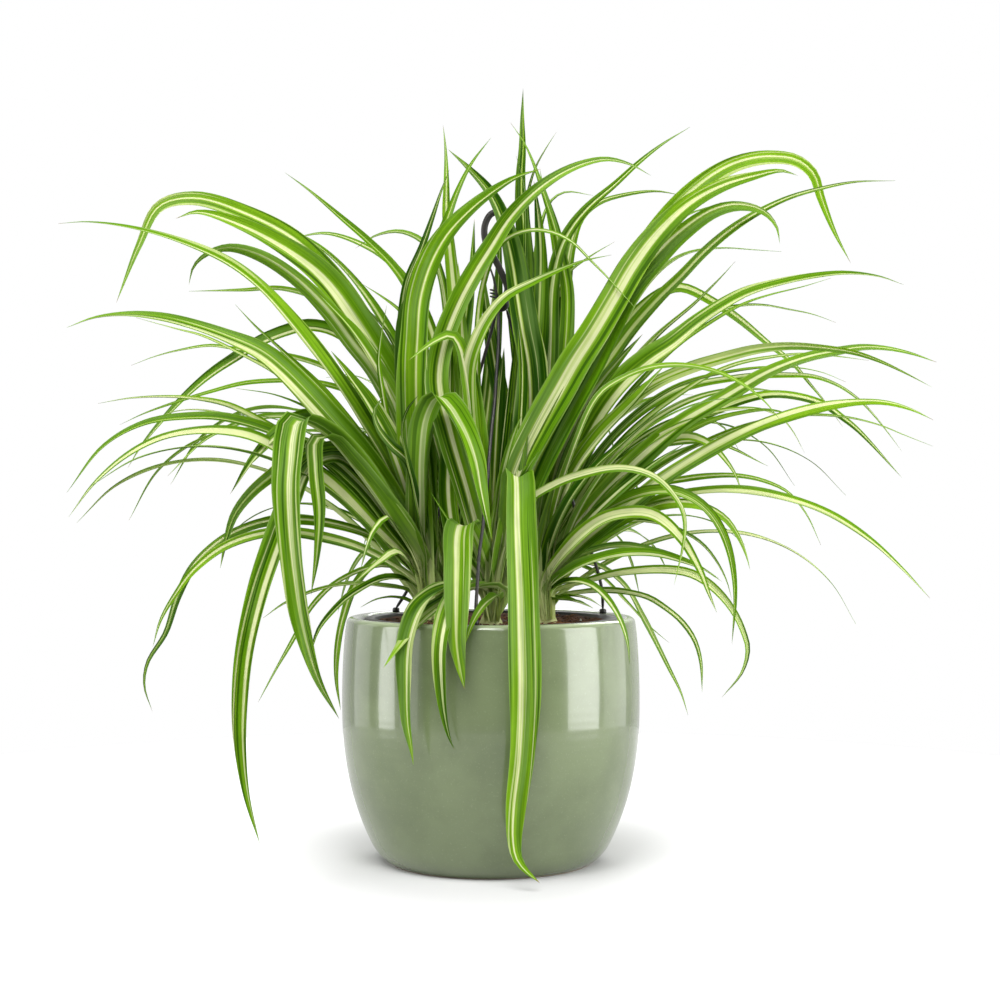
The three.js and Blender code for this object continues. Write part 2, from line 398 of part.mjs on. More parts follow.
// A value read off an evenly spaced row of stops
function along(stops, s) {
  const at = s * (stops.length - 1);
  const i = Math.min(Math.floor(at), stops.length - 2);
  return stops[i] + (stops[i + 1] - stops[i]) * (at - i);
}

// Points seen on the plane y = 0, set back or brought forward to their depths along the route
function placed(seen, depths) {
  const flat = [];
  for (let i = 0; i < seen.length; i += 2) flat.push(new THREE.Vector2(seen[i], seen[i + 1]));
  const run = [0];
  for (let i = 1; i < flat.length; i++) run.push(run[i - 1] + flat[i].distanceTo(flat[i - 1]));
  return flat.map((p, i) => {
    const y = along(depths, run[i] / run.at(-1));
    const scale = (EYE.distance + y) / EYE.distance;
    return new THREE.Vector3(EYE.x + (p.x - EYE.x) * scale, y, EYE.z + (p.y - EYE.z) * scale);
  });
}

// Stations along a route, closer together where it bends
const BEND_WEIGHT = 45;
function stations(points, count) {
  const fine = curve(points).getSpacedPoints(160);
  const chord = (i) => new THREE.Vector3().subVectors(fine[i + 1], fine[i]);
  const measure = [0];
  for (let i = 1; i < fine.length; i++) {
    const bend = i < fine.length - 1 ? chord(i - 1).angleTo(chord(i)) : 0;
    measure.push(measure[i - 1] + chord(i - 1).length() + BEND_WEIGHT * bend);
  }
  return Array.from({ length: count + 1 }, (_, k) => {
    const goal = (measure.at(-1) * k) / count;
    let i = 1;
    while (i < fine.length - 1 && measure[i] < goal) i++;
    const part = (goal - measure[i - 1]) / (measure[i] - measure[i - 1]);
    const low = Math.max(i - 3, 0);
    const high = Math.min(i + 2, fine.length - 1);
    return {
      at: fine[i - 1].clone().lerp(fine[i], part),
      ahead: fine[high].clone().sub(fine[low]).normalize(),
      s: (i - 1 + part) / (fine.length - 1),
    };
  });
}

const breadth = (s, taper) => Math.min(1, 0.22 + 2.4 * s) * (1 - s ** taper);

// One strap leaf: a shallow V of two thin halves on a keel, from its root to a point. A turn of 0 lays
// the blade level, 90 shows its upper face to the eye and -90 its lower face.
function blade(points, width, taper, turnRoot, turnTip) {
  const heading = points.at(-1).clone().sub(points[0]).setZ(0).normalize();
  const level = new THREE.Vector3(-heading.y, heading.x, 0);
  const count = THREE.MathUtils.clamp(Math.round(curve(points).getLength() / 62), 4, 7);
  const route = stations(points, count);
  const vertices = [];
  let away = 0;
  route.slice(0, -1).forEach(({ at, ahead, s }) => {
    const side = level.clone().addScaledVector(ahead, -level.dot(ahead)).normalize();
    const facing = new THREE.Vector3().crossVectors(ahead, at.clone().sub(EYE_POINT)).normalize();
    const angle = Math.atan2(side.clone().cross(facing).dot(ahead), side.dot(facing));
    away = angle + 2 * Math.PI * Math.round((away - angle) / (2 * Math.PI));
    const share = (turnRoot + (turnTip - turnRoot) * s) / 90;
    side.applyAxisAngle(ahead, share > 0 ? share * away : -share * (away + Math.PI));
    const up = new THREE.Vector3().crossVectors(ahead, side);
    const half = (width / 2) * breadth(s, taper);
    const rise = rad(FOLD.tip + FOLD.root * (1 - s) ** 2);
    for (const [across, high] of [[-half * Math.cos(rise), half * Math.sin(rise)], [0, 0.5 * KEEL],
      [half * Math.cos(rise), half * Math.sin(rise)], [0, -0.5 * KEEL]])
      vertices.push(at.clone().addScaledVector(side, across).addScaledVector(up, high));
  });
  vertices.push(route.at(-1).at);
  const tip = vertices.length - 1;
  const faces = [[0, 1, 3], [1, 2, 3]];
  for (let k = 0; k < tip; k += 4) {
    for (const [a, b] of [[0, 1], [1, 2], [2, 3], [3, 0]]) {
      if (k + 4 === tip) faces.push([k + b, k + a, tip]);
      else if (b % 2) faces.push([k + b, k + a, k + b + 4], [k + b + 4, k + a, k + a + 4]);
      else faces.push([k + b, k + a, k + a + 4], [k + b + 4, k + b, k + a + 4]);
    }
  }
  return new wasm.Manifold(new wasm.Mesh({
    numProp: 3,
    vertProperties: new Float32Array(vertices.flatMap((v) => v.toArray())),
    triVerts: new Uint32Array(faces.flat()),
  }));
}

// The route of a hidden leaf: it leaves the crown at a steep angle and arches over
function archRoute([x, y], angle, length, rise) {
  const out = new THREE.Vector3(Math.cos(rad(angle)), Math.sin(rad(angle)), 0);
  const at = new THREE.Vector3(x, y, STUB.shoulder);
  const points = [at.clone()];
  for (let i = 0; i < 8; i++) {
    const slope = rad(rise - 105 * (i / 7) ** 1.5 * (length / 300));
    at.addScaledVector(out, (length / 8) * Math.cos(slope));
    at.z += (length / 8) * Math.sin(slope);
    points.push(at.clone());
  }
  return points;
}

const between = (low, high, part) => low + (high - low) * part;

function hiddenLeaves(name) {
  const draw = draws(SEED + 7 * Object.keys(CROWNS).indexOf(name));
  return HIDDEN[name].flatMap(([count, a0, a1, l0, l1, r0, r1]) =>
    Array.from({ length: count }, (_, i) => {
      const angle = between(a0, a1, (i + draw()) / count);
      const route = archRoute(CROWNS[name], angle, between(l0, l1, draw()), between(r0, r1, draw()));
      return blade(route, between(8, 14, draw()), 2.2, between(-20, 20, draw()), between(-30, 30, draw()));
    }));
}

// The outer skin of a body, without the small pockets closed in between crossing leaves
function filled(body) {
  return body.decompose().reduce((most, piece) => (piece.volume() > most.volume() ? piece : most));
}

function crown(name) {
  const [x, y] = CROWNS[name];
  const seen = LEAVES[name].map(([width, taper, turnRoot, turnTip, depths, route]) => {
    const deep = THREE.MathUtils.clamp((depths[0] - y) / 3, -ROOT_SHIFT.deep, ROOT_SHIFT.deep);
    const across = Math.sign(route.at(-2) - x) * ROOT_SHIFT.across;
    const root = new THREE.Vector3(x + across, y + deep, STUB.shoulder);
    return blade([root, ...placed(route, [y + deep, ...depths])], width, taper, turnRoot, turnTip);
  });
  return filled(wasm.Manifold.union([stub(CROWNS[name]), ...seen, ...hiddenLeaves(name)]));
}

// Legs as seen, from under the hub to the foot, with the depth at both ends
const LEGS = {
  front: { depths: [-1.5, -74], seen: [4.6, 331.9, 4.6, 311, 3.5, 296, 2.3, 277, 0.6, 262, -1.2, 242,
    -2.3, 225, -4.6, 204, -7, 185, -8, 170, -9.6, 144] },
  right: { depths: [2, 29], seen: [9.5, 332.7, 13.8, 319, 18.5, 304, 21.5, 291, 28.8, 272, 44, 231,
    48.5, 220, 52, 209, 56.6, 197, 64.2, 176, 67.4, 162, 67.8, 149] },
  left: { depths: [4, 10, 16, 22, 43], seen: [3.6, 333.6, 0, 319, -10, 284, -24, 237, -37, 193, -50, 164, -57.5, 150.5] },
};

const FOOT = { radius: 2.2, height: 3 };
function leg({ depths, seen }) {
  const route = placed(seen, depths);
  const end = route.at(-1);
  const z = LINER_RIM.z + GAP;
  end.set(end.x, end.y, z + FOOT.height - 0.5);
  const foot = wasm.Manifold.cylinder(FOOT.height, FOOT.radius, FOOT.radius, 8).translate([end.x, end.y, z]);
  return bar(curve(route), LEG_RADIUS, 10).add(foot);
}

function hook() {
  const at = (x, z) => new THREE.Vector3(x, 0, z);
  const stem = curve([at(7, 338), at(10, 345), at(7, 354), at(2, 364), at(-3.2, 374), at(-3.6, 384),
    at(0.5, 391), at(7, 391.5), at(11, 386), at(11, 380)]);
  const tongue = curve([at(4, 338), at(2.9, 345), at(1.6, 352), at(-0.8, 359)]);
  const barb = (z) => bar(new THREE.LineCurve3(at(3.4, z), at(-0.8, z + 0.8)), 0.6, 1, 4);
  const hub = wasm.Manifold.sphere(HUB.radius, 12).scale([1, 0.8, 0.9]).translate([HUB.x, 0, HUB.z]);
  return wasm.Manifold.union([hub, bar(stem, 2, 14, 8), bar(tongue, 1, 4), barb(340.2), barb(342.2), barb(344.2)]);
}

const plant = new THREE.Group();
plant.name = "potted_spider_plant";
plant.add(meshOf("cachepot", cachepot(), MATERIALS.glaze));
plant.add(meshOf("nursery_pot", liner(), MATERIALS.plastic));
plant.add(meshOf("soil", soil(), MATERIALS.peat));
plant.add(meshOf("hanger_hook", hook(), MATERIALS.plastic));
for (const [side, route] of Object.entries(LEGS))
  plant.add(meshOf("hanger_leg_" + side, leg(route), MATERIALS.plastic));
for (const name of Object.keys(CROWNS))
  plant.add(meshOf("crown_" + name, crown(name), MATERIALS.leaf));

export default plant;
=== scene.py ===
import math

import bmesh
import bpy
import numpy as np
from mathutils import Matrix, Vector


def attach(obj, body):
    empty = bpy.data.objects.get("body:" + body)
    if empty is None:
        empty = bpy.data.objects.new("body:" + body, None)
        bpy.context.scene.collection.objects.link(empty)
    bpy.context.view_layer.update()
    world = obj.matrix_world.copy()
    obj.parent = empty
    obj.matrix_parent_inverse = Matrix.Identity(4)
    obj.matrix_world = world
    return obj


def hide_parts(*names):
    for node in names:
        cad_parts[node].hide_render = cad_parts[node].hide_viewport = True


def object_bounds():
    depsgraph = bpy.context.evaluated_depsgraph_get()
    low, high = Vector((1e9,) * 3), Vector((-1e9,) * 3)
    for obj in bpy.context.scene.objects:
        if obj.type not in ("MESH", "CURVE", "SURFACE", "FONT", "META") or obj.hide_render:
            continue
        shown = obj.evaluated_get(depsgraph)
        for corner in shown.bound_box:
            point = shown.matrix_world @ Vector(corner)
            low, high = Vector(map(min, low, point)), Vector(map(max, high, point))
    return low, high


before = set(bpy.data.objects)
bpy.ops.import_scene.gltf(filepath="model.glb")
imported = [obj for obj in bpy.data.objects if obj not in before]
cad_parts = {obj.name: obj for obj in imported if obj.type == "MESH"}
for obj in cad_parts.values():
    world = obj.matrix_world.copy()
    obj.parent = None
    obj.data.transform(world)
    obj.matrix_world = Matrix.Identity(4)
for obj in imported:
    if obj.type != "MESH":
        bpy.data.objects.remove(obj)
cad_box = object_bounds()

# Cachepot
# A round stoneware pot 18 cm across with a rolled lip and a wide flat foot. It was thrown, dipped
# in a sage green gloss glaze and fired standing on its bare foot. It stands on the table.
MM = 0.001
POT_OUTSIDE = [(62, 0.6), (65, 2.5), (70, 8), (75, 17.6), (82.2, 36.9), (86.7, 56.2), (89.3, 77),
               (89.9, 97), (89.3, 120), (88, 138), (87.2, 143.8)]
POT_TOP, POT_MOUTH, POT_FLOOR = 147.2, 79, 9
POT_INSIDE = [(80.6, 136), (83, 104), (80, 56), (74, 34), (62, 12), (54, POT_FLOOR)]
POT_FOOT = [(0, 0), (56, 0), (60, 0), (61.4, 0)]
LIP_HALF, LIP_RISE = 4.1, 3.4
POT_SIDES = 160
GLAZE, GLAZE_THIN_AND_HIGHLIGHT, GLAZE_DEEP = (0.148, 0.188, 0.091), (0.36, 0.42, 0.26), (0.116, 0.150, 0.070)
BARE_CLAY = (0.42, 0.33, 0.24)


def smooth_run(points, count):
    """A centripetal Catmull-Rom run through the points, with count + 1 even stops along it."""
    p = np.asarray(points, float)
    p = np.vstack([2 * p[0] - p[1], p, 2 * p[-1] - p[-2]])
    gap = np.maximum(np.sum(np.diff(p, axis=0) ** 2, axis=1) ** 0.25, 1e-4)
    t = np.linspace(0, 1, 24, endpoint=False)[:, None]
    fine = []
    for i in range(1, len(p) - 2):
        a, b, c = gap[i - 1], gap[i], gap[i + 1]
        out = ((p[i] - p[i - 1]) / a - (p[i + 1] - p[i - 1]) / (a + b) + (p[i + 1] - p[i]) / b) * b
        into = ((p[i + 1] - p[i]) / b - (p[i + 2] - p[i]) / (b + c) + (p[i + 2] - p[i + 1]) / c) * b
        bend = -3 * p[i] + 3 * p[i + 1] - 2 * out - into
        turn = 2 * p[i] - 2 * p[i + 1] + out + into
        fine.append(p[i] + out * t + bend * t ** 2 + turn * t ** 3)
    fine = np.vstack([*fine, p[-2:-1]])
    run = np.concatenate([[0], np.cumsum(np.linalg.norm(np.diff(fine, axis=0), axis=1))])
    stops = np.linspace(0, run[-1], count + 1)
    return np.stack([np.interp(stops, run, fine[:, k]) for k in range(fine.shape[1])], axis=1)


def stood(name, data):
    """A new object in the scene."""
    thing = bpy.data.objects.new(name, data)
    bpy.context.scene.collection.objects.link(thing)
    return thing


def piece(name, places, faces):
    """A smooth mesh object from places in millimetres."""
    mesh = bpy.data.meshes.new(name)
    mesh.from_pydata((np.asarray(places) * MM).tolist(), [], faces)
    mesh.validate()
    mesh.shade_smooth()
    return stood(name, mesh)


def ring(radius, z, sides):
    """A level ring of places round Z."""
    a = 2 * np.pi * np.arange(sides) / sides
    return np.stack([radius * np.cos(a), radius * np.sin(a), np.full(sides, z)], axis=1)


def wall_faces(rings, sides):
    """The faces between rings of places that follow each other."""
    return [(i * sides + k, i * sides + (k + 1) % sides, (i + 1) * sides + (k + 1) % sides,
             (i + 1) * sides + k) for i in range(rings - 1) for k in range(sides)]


def closed_faces(rings, sides):
    """Wall faces, with a fan from the first ring and one from the last to two more places."""
    last = (rings - 1) * sides
    return [*wall_faces(rings, sides), *((rings * sides, (k + 1) % sides, k) for k in range(sides)),
            *((rings * sides + 1, last + k, last + (k + 1) % sides) for k in range(sides))]


def turned(name, profile, sides):
    """A closed wall turned about Z, from a profile of (radius, z) that runs from the axis to the axis."""
    (_, start), *inner, (_, end) = profile
    places = np.vstack([*(ring(r, z, sides) for r, z in inner), [[0, 0, start]], [[0, 0, end]]])
    return piece(name, places, closed_faces(len(inner), sides))


def feed(tree, node, **values):
    """Sets a node's sockets, named or i and a number, each to a value or a link."""
    for key, value in values.items():
        socket = node.inputs[int(key[1:]) if key[0] == "i" and key[1:].isdigit() else key.replace("_", " ")]
        if isinstance(value, bpy.types.NodeSocket):
            tree.links.new(value, socket)
        elif socket.type == "RGBA" and len(value) == 3:
            socket.default_value = (*value, 1)
        else:
            socket.default_value = value
    return node


def put(tree, kind, at=None, **values):
    """A shader node with its settings in at and its sockets in values."""
    node = tree.nodes.new(kind)
    for key, value in (at or {}).items():
        setattr(node, key, value)
    return feed(tree, node, **values)


def maths(tree, kind, a, b=0.5, c=0.5):
    """One step of a shader's arithmetic."""
    return put(tree, "ShaderNodeMath", {"operation": kind}, i0=a, i1=b, i2=c).outputs[0]


def times(tree, a, b):
    """a times b."""
    return maths(tree, "MULTIPLY", a, b)


def times_plus(tree, a, b, c):
    """a times b, plus c."""
    return maths(tree, "MULTIPLY_ADD", a, b, c)


def blend(tree, part, a, b):
    """Colour a turning to colour b by part."""
    return put(tree, "ShaderNodeMix", {"data_type": "RGBA"}, i0=part, i6=a, i7=b).outputs[2]


def coats(tree, colour, *layers):
    """The colour under layers, each a part and its colour, laid on in turn."""
    for part, over in layers:
        colour = blend(tree, part, colour, over)
    return colour


def ease(tree, value, low, high, start=0.0, end=1.0):
    """value from low to high brought to start to end, with soft ends."""
    at = {"interpolation_type": "SMOOTHSTEP"}
    return put(tree, "ShaderNodeMapRange", at, i0=value, i1=low, i2=high, i3=start, i4=end).outputs[0]


def noise(tree, where, scale, detail=2.0, roughness=0.5):
    """Noise round about 0.5, with scale repeats in a unit of where."""
    return put(tree, "ShaderNodeTexNoise", None, Vector=where, Scale=scale, Detail=detail,
               Roughness=roughness).outputs["Fac"]


def relief(tree, strength, depth, height):
    """The normal of a surface with this height on it, its depth in metres."""
    return put(tree, "ShaderNodeBump", None, Strength=strength, Distance=depth,
               Height=height).outputs["Normal"]


def finish(name, thing):
    """A new material on the piece, with its tree and its Principled shader."""
    material = bpy.data.materials.new(name)
    material.use_nodes = True
    thing.data.materials.clear()
    thing.data.materials.append(material)
    return material.node_tree, material.node_tree.nodes["Principled BSDF"]


lip = [(POT_MOUTH + LIP_HALF * (1 + math.cos(a)), POT_TOP - LIP_RISE * (1 - math.sin(a)))
       for a in np.linspace(0, math.pi, 20)]
outside = smooth_run(POT_OUTSIDE, 64).tolist()
inside = smooth_run([lip[-1], *POT_INSIDE], 48).tolist()
cachepot = turned("glazed_cachepot", [*POT_FOOT, *outside, *lip[1:], *inside[1:], (26, POT_FLOOR),
                                      (0, POT_FLOOR)], POT_SIDES)
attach(cachepot, "root")
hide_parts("cachepot")

tree, shader = finish("sage_green_glaze", cachepot)
place = put(tree, "ShaderNodeTexCoord").outputs["Object"]
height = put(tree, "ShaderNodeSeparateXYZ", None, Vector=place).outputs["Z"]
cloud, speck = noise(tree, place, 22, 4, 0.55), noise(tree, place, 900, 2, 0.6)
bare = ease(tree, height, 0.0009, 0.0004)
# The pale band on top of the lip is partly glaze breaking thin over the rolled edge and partly a painted
# highlight along the lip.
glaze = coats(tree, GLAZE, (ease(tree, cloud, 0.35, 0.7), GLAZE_DEEP),
              (ease(tree, speck, 0.60, 0.72, 0, 0.12), GLAZE_THIN_AND_HIGHLIGHT),
              (ease(tree, height, 0.1445, 0.1470, 0, 0.75), GLAZE_THIN_AND_HIGHLIGHT),
              (ease(tree, height, 0.012, 0.0, 0, 0.35), GLAZE_DEEP), (bare, BARE_CLAY))
throwing = put(tree, "ShaderNodeTexWave", {"wave_type": "BANDS", "bands_direction": "Z"}, Vector=place,
               Scale=60, Distortion=1.2, Detail=1).outputs["Fac"]
waves = times_plus(tree, throwing, 0.25, noise(tree, place, 26, 2))
feed(tree, shader, Base_Color=glaze, Normal=relief(tree, 0.12, 0.0008, waves),
     Roughness=times_plus(tree, bare, 0.5, 0.2), Coat_Weight=0.6, Coat_Roughness=0.05)

# Nursery pot
# The black pot that the plant grew in: moulded polypropylene with a rim, a sloping wall and six
# drain holes. It hangs in the cachepot's mouth with its rim just under the lip.
LINER_RIM_RADIUS, LINER_WALL_RADIUS, LINER_TOP, LINER_DROP = 76.4, 71.4, 146.5, 9
LINER_WALL, LINER_FOOT_RADIUS, LINER_FOOT = 1.4, 52, 9.3
LINER_INNER, LINER_FLOOR = LINER_WALL_RADIUS - LINER_WALL, LINER_FOOT + LINER_WALL
LINER_LOW = LINER_TOP - LINER_DROP
RIM_ROUND, LINER_SIDES = 0.9, 96
DRAINS, DRAIN_RING, DRAIN_RADIUS, DRAIN_SIDES = 6, 34, 4, 20
POT_GRAIN, POT_DUST = 700, 0.8
BLACK_PLASTIC, DUSTY_PLASTIC = (0.012, 0.011, 0.010), (0.050, 0.030, 0.020)


def scuffed_plastic_group():
    """Fine moulded grain, dust on it and rubbed spots, for black polypropylene."""
    group = bpy.data.node_groups.new("scuffed_plastic", "ShaderNodeTree")
    for name, way, kind in (("Grain", "INPUT", "Float"), ("Dust", "INPUT", "Float"),
                            ("Color", "OUTPUT", "Color"), ("Roughness", "OUTPUT", "Float"),
                            ("Height", "OUTPUT", "Float")):
        group.interface.new_socket(name, in_out=way, socket_type="NodeSocket" + kind)
    given = group.nodes.new("NodeGroupInput").outputs
    where = put(group, "ShaderNodeTexCoord").outputs["Object"]
    grain = noise(group, where, given["Grain"], 3, 0.6)
    dust = times(group, ease(group, noise(group, where, 55, 5, 0.65), 0.42, 0.72), given["Dust"])
    rubbed = ease(group, noise(group, where, 140, 3), 0.5, 0.75)
    put(group, "NodeGroupOutput", None, Color=blend(group, dust, BLACK_PLASTIC, DUSTY_PLASTIC),
        Roughness=times_plus(group, dust, 0.3, times_plus(group, rubbed, -0.12, 0.46)), Height=grain)
    return group


scuffed_plastic = scuffed_plastic_group()


def plastic_finish(thing, grain, dust):
    """The black plastic on a piece, with its own fineness of grain and amount of dust."""
    tree, shader = finish("black_plastic_" + thing.name, thing)
    effect = put(tree, "ShaderNodeGroup", {"node_tree": scuffed_plastic}, Grain=grain, Dust=dust).outputs
    feed(tree, shader, Base_Color=effect["Color"], Roughness=effect["Roughness"],
         Normal=relief(tree, 0.25, 0.0002, effect["Height"]))


rim = [(LINER_RIM_RADIUS - RIM_ROUND + RIM_ROUND * math.cos(a),
        LINER_TOP - RIM_ROUND + RIM_ROUND * math.sin(a)) for a in np.linspace(0, math.pi / 2, 6)]
nursery_pot = turned("nursery_pot_shell", [
    (0, LINER_FOOT), (30, LINER_FOOT), (LINER_FOOT_RADIUS - 2, LINER_FOOT),
    (LINER_FOOT_RADIUS - 0.6, LINER_FOOT + 0.6), (LINER_FOOT_RADIUS, LINER_FOOT + 2), (62, 76),
    (LINER_WALL_RADIUS, LINER_LOW), (LINER_RIM_RADIUS - 0.4, LINER_LOW), (LINER_RIM_RADIUS, LINER_LOW + 0.5),
    *rim, (LINER_INNER + 0.6, LINER_TOP), (LINER_INNER, LINER_TOP - 0.6), (LINER_INNER - 0.7, LINER_LOW - 2),
    (60.4, 76), (LINER_FOOT_RADIUS - LINER_WALL, LINER_FOOT + 3.4),
    (LINER_FOOT_RADIUS - 2 * LINER_WALL, LINER_FLOOR), (30, LINER_FLOOR), (0, LINER_FLOOR)], LINER_SIDES)
punches = bmesh.new()
for k in range(DRAINS):
    a = 2 * math.pi * k / DRAINS
    spot = Vector((DRAIN_RING * math.cos(a), DRAIN_RING * math.sin(a), LINER_FOOT + 1)) * MM
    bmesh.ops.create_cone(punches, cap_ends=True, segments=DRAIN_SIDES, radius1=DRAIN_RADIUS * MM,
                          radius2=DRAIN_RADIUS * MM, depth=0.006, matrix=Matrix.Translation(spot))
punch_mesh = bpy.data.meshes.new("drain_punches")
punches.to_mesh(punch_mesh)
punches.free()
punch = stood("drain_punches", punch_mesh)
cut = nursery_pot.modifiers.new("drain_holes", "BOOLEAN")
cut.operation, cut.object, cut.solver = "DIFFERENCE", punch, "EXACT"
settled = bpy.data.meshes.new_from_object(
    nursery_pot.evaluated_get(bpy.context.evaluated_depsgraph_get()))
nursery_pot.modifiers.clear()
nursery_pot.data = settled
nursery_pot.data.shade_smooth()
bpy.data.objects.remove(punch)
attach(nursery_pot, "root")
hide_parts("nursery_pot")
plastic_finish(nursery_pot, POT_GRAIN, POT_DUST)

# Potting soil
# Dark peat and coir packed round the roots to just under the nursery pot's rim. Its top is crumbly,
# with loose fibres and a few white perlite grains lying in it, and it climbs the pot's wall a little.
SOIL_EDGE_RADIUS, SOIL_EDGE, SOIL_MIDDLE, SOIL_BANK = 69.0, 142.2, 143.9, 2.6
SOIL_SIDE = [(48.6, 11.2), (60.0, 76.0), (SOIL_EDGE_RADIUS, 136.0)]
SOIL_SECTORS, SOIL_RINGS, SOIL_INNERMOST = 120, 44, 1.2
CRUMBS, FIBRES, GRAINS, FIBRE_STOPS = 900, 420, 26, 9
CRUMB_KIND, FIBRE_KIND, GRAIN_KIND = 0.15, 0.5, 0.8
SUNK, CRUMB_REACH = 0.1, 0.955
FIBRE_REACH, FIBRE_EDGE, FIBRE_CLEAR = 0.9, SOIL_EDGE_RADIUS - 1.5, 0.1
PEAT_DARK, PEAT_RED, COIR = (0.030, 0.014, 0.008), (0.120, 0.048, 0.024), (0.22, 0.11, 0.05)
PERLITE = (0.62, 0.60, 0.54)
soil_draw = np.random.default_rng(31)


def soil_top(x, y):
    """Height of the soil's uneven top, a low dome with a raised edge."""
    bumps = np.sin(x * 0.31 + 1.7 * np.sin(y * 0.17)) * np.cos(y * 0.27 + 1.3 * np.sin(x * 0.21))
    fine = np.sin(x * 1.13 + 2.1) * np.sin(y * 1.31 + 0.6) + 0.5 * np.sin(x * 2.3 + y * 1.9)
    r = np.hypot(x, y) / SOIL_EDGE_RADIUS
    dome = SOIL_EDGE + (SOIL_MIDDLE - SOIL_EDGE) * np.cos(np.clip(r, 0, 1) * np.pi / 2)
    dome = dome + SOIL_BANK * np.clip((r - 0.82) / 0.14, 0, 1) ** 2
    return dome + (0.75 * bumps + 0.3 * fine) * np.clip((1.02 - r) * 8, 0.2, 1)


def soil_spot(reach):
    """A drawn place on the soil's top."""
    r, t = SOIL_EDGE_RADIUS * reach * math.sqrt(soil_draw.random()), soil_draw.uniform(0, 2 * math.pi)
    x, y = r * math.cos(t), r * math.sin(t)
    return np.array([x, y, float(soil_top(x, y))])


def lumps(count, low, high, kind):
    """Crumbs or grains lying in the top, each a knocked-about ball."""
    ball = bmesh.new()
    bmesh.ops.create_icosphere(ball, subdivisions=1, radius=1.0)
    round_lump = np.array([v.co[:] for v in ball.verts])
    faces = [tuple(v.index for v in f.verts) for f in ball.faces]
    ball.free()
    for _ in range(count):
        size = soil_draw.uniform(low, high)
        knocks = soil_draw.uniform(0.6, 1.2, (len(round_lump), 1))
        lump = round_lump * knocks * soil_draw.uniform(0.5, 1.2, 3) * size
        turn = np.array(Matrix.Rotation(soil_draw.uniform(0, 6.28), 3, "Z")) @ np.array(
            Matrix.Rotation(soil_draw.uniform(-0.7, 0.7), 3, "X"))
        places = lump @ turn.T + soil_spot(CRUMB_REACH) - [0, 0, SUNK * size]
        yield places, faces, kind + soil_draw.uniform(0, 0.2)


def capped_faces(rings, sides):
    """Wall faces with a flat face on the first ring and on the last."""
    return [*wall_faces(rings, sides), tuple(range(sides))[::-1],
            tuple((rings - 1) * sides + k for k in range(sides))]


def fibre(length, thick, kind):
    """A curled strand of coir lying on the top."""
    at, heading = soil_spot(FIBRE_REACH), soil_draw.uniform(0, 2 * math.pi)
    curl, arch = soil_draw.uniform(-0.25, 0.25), soil_draw.uniform(0.3, 1.5)
    line = []
    for i in range(FIBRE_STOPS):
        r = np.hypot(at[0], at[1])
        if r > FIBRE_EDGE:
            at[:2] *= FIBRE_EDGE / r
        top = float(soil_top(at[0], at[1]))
        line.append([at[0], at[1], top + FIBRE_CLEAR + arch * math.sin(math.pi * i / (FIBRE_STOPS - 1))])
        at[:2] += length / FIBRE_STOPS * np.array([math.cos(heading), math.sin(heading)])
        heading += curl
    line = np.array(line)
    side = np.cross(np.gradient(line, axis=0), [0, 0, 1])
    side /= np.maximum(np.linalg.norm(side, axis=1, keepdims=True), 1e-9)
    taper = thick * (1.05 - np.abs(np.linspace(-1, 1, FIBRE_STOPS)) ** 3)[:, None]
    strand = np.stack([line + way * taper for way in (side, [0, 0, 1], -side, [0, 0, -1])], axis=1)
    return strand.reshape(-1, 3), capped_faces(FIBRE_STOPS, 4), kind


def gathered(bodies):
    """Several closed bodies as one list of places and one of faces."""
    starts = np.cumsum([0, *(len(places) for places, _ in bodies)]).tolist()
    faces = [tuple(start + i for i in face) for start, (_, own) in zip(starts, bodies) for face in own]
    return np.vstack([places for places, _ in bodies]), faces


def stamp(thing, label, rows):
    """Numbers or triples kept at the places of a mesh, for its material."""
    kind, key = ("FLOAT", "value") if rows.ndim == 1 else ("FLOAT_VECTOR", "vector")
    held = thing.data.attributes.new(label, kind, "POINT")
    held.data.foreach_set(key, rows.astype(np.float32).ravel())


rings = [ring(r, z, SOIL_SECTORS) for r, z in SOIL_SIDE]
for r in np.linspace(SOIL_EDGE_RADIUS, SOIL_INNERMOST, SOIL_RINGS):
    level = ring(r, 0.0, SOIL_SECTORS)
    level[:, 2] = soil_top(level[:, 0], level[:, 1])
    rings.append(level)
body = np.vstack([*rings, [[0, 0, SOIL_SIDE[0][1]]], [[0, 0, float(soil_top(0.0, 0.0))]]])
soil_parts = [(body, closed_faces(len(rings), SOIL_SECTORS), 0.0), *lumps(CRUMBS, 0.35, 1.6, CRUMB_KIND),
              *lumps(GRAINS, 0.6, 1.3, GRAIN_KIND)]
for _ in range(FIBRES):
    soil_parts.append(fibre(soil_draw.uniform(6, 24), soil_draw.uniform(0.1, 0.28),
                            FIBRE_KIND + soil_draw.uniform(0, 0.15)))
soil = piece("peat_and_coir", *gathered([part[:2] for part in soil_parts]))
stamp(soil, "kind", np.repeat([part[2] for part in soil_parts], [len(part[0]) for part in soil_parts]))
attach(soil, "root")
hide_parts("soil")

tree, shader = finish("peat_and_coir", soil)
place = put(tree, "ShaderNodeTexCoord").outputs["Object"]
kind = put(tree, "ShaderNodeAttribute", {"attribute_name": "kind"}).outputs["Fac"]
damp, crumb = noise(tree, place, 90, 5, 0.7), noise(tree, place, 700, 4, 0.7)
peat = coats(tree, PEAT_DARK, (ease(tree, damp, 0.35, 0.68), PEAT_RED),
             (ease(tree, crumb, 0.5, 0.75, 0, 0.5), COIR),
             (ease(tree, kind, 0.40, 0.50), blend(tree, crumb, PEAT_RED, COIR)),
             (ease(tree, kind, 0.70, 0.78), PERLITE))
feed(tree, shader, Base_Color=peat, Normal=relief(tree, 0.8, 0.0006, crumb), Roughness=0.92,
     Specular_IOR_Level=0.25)

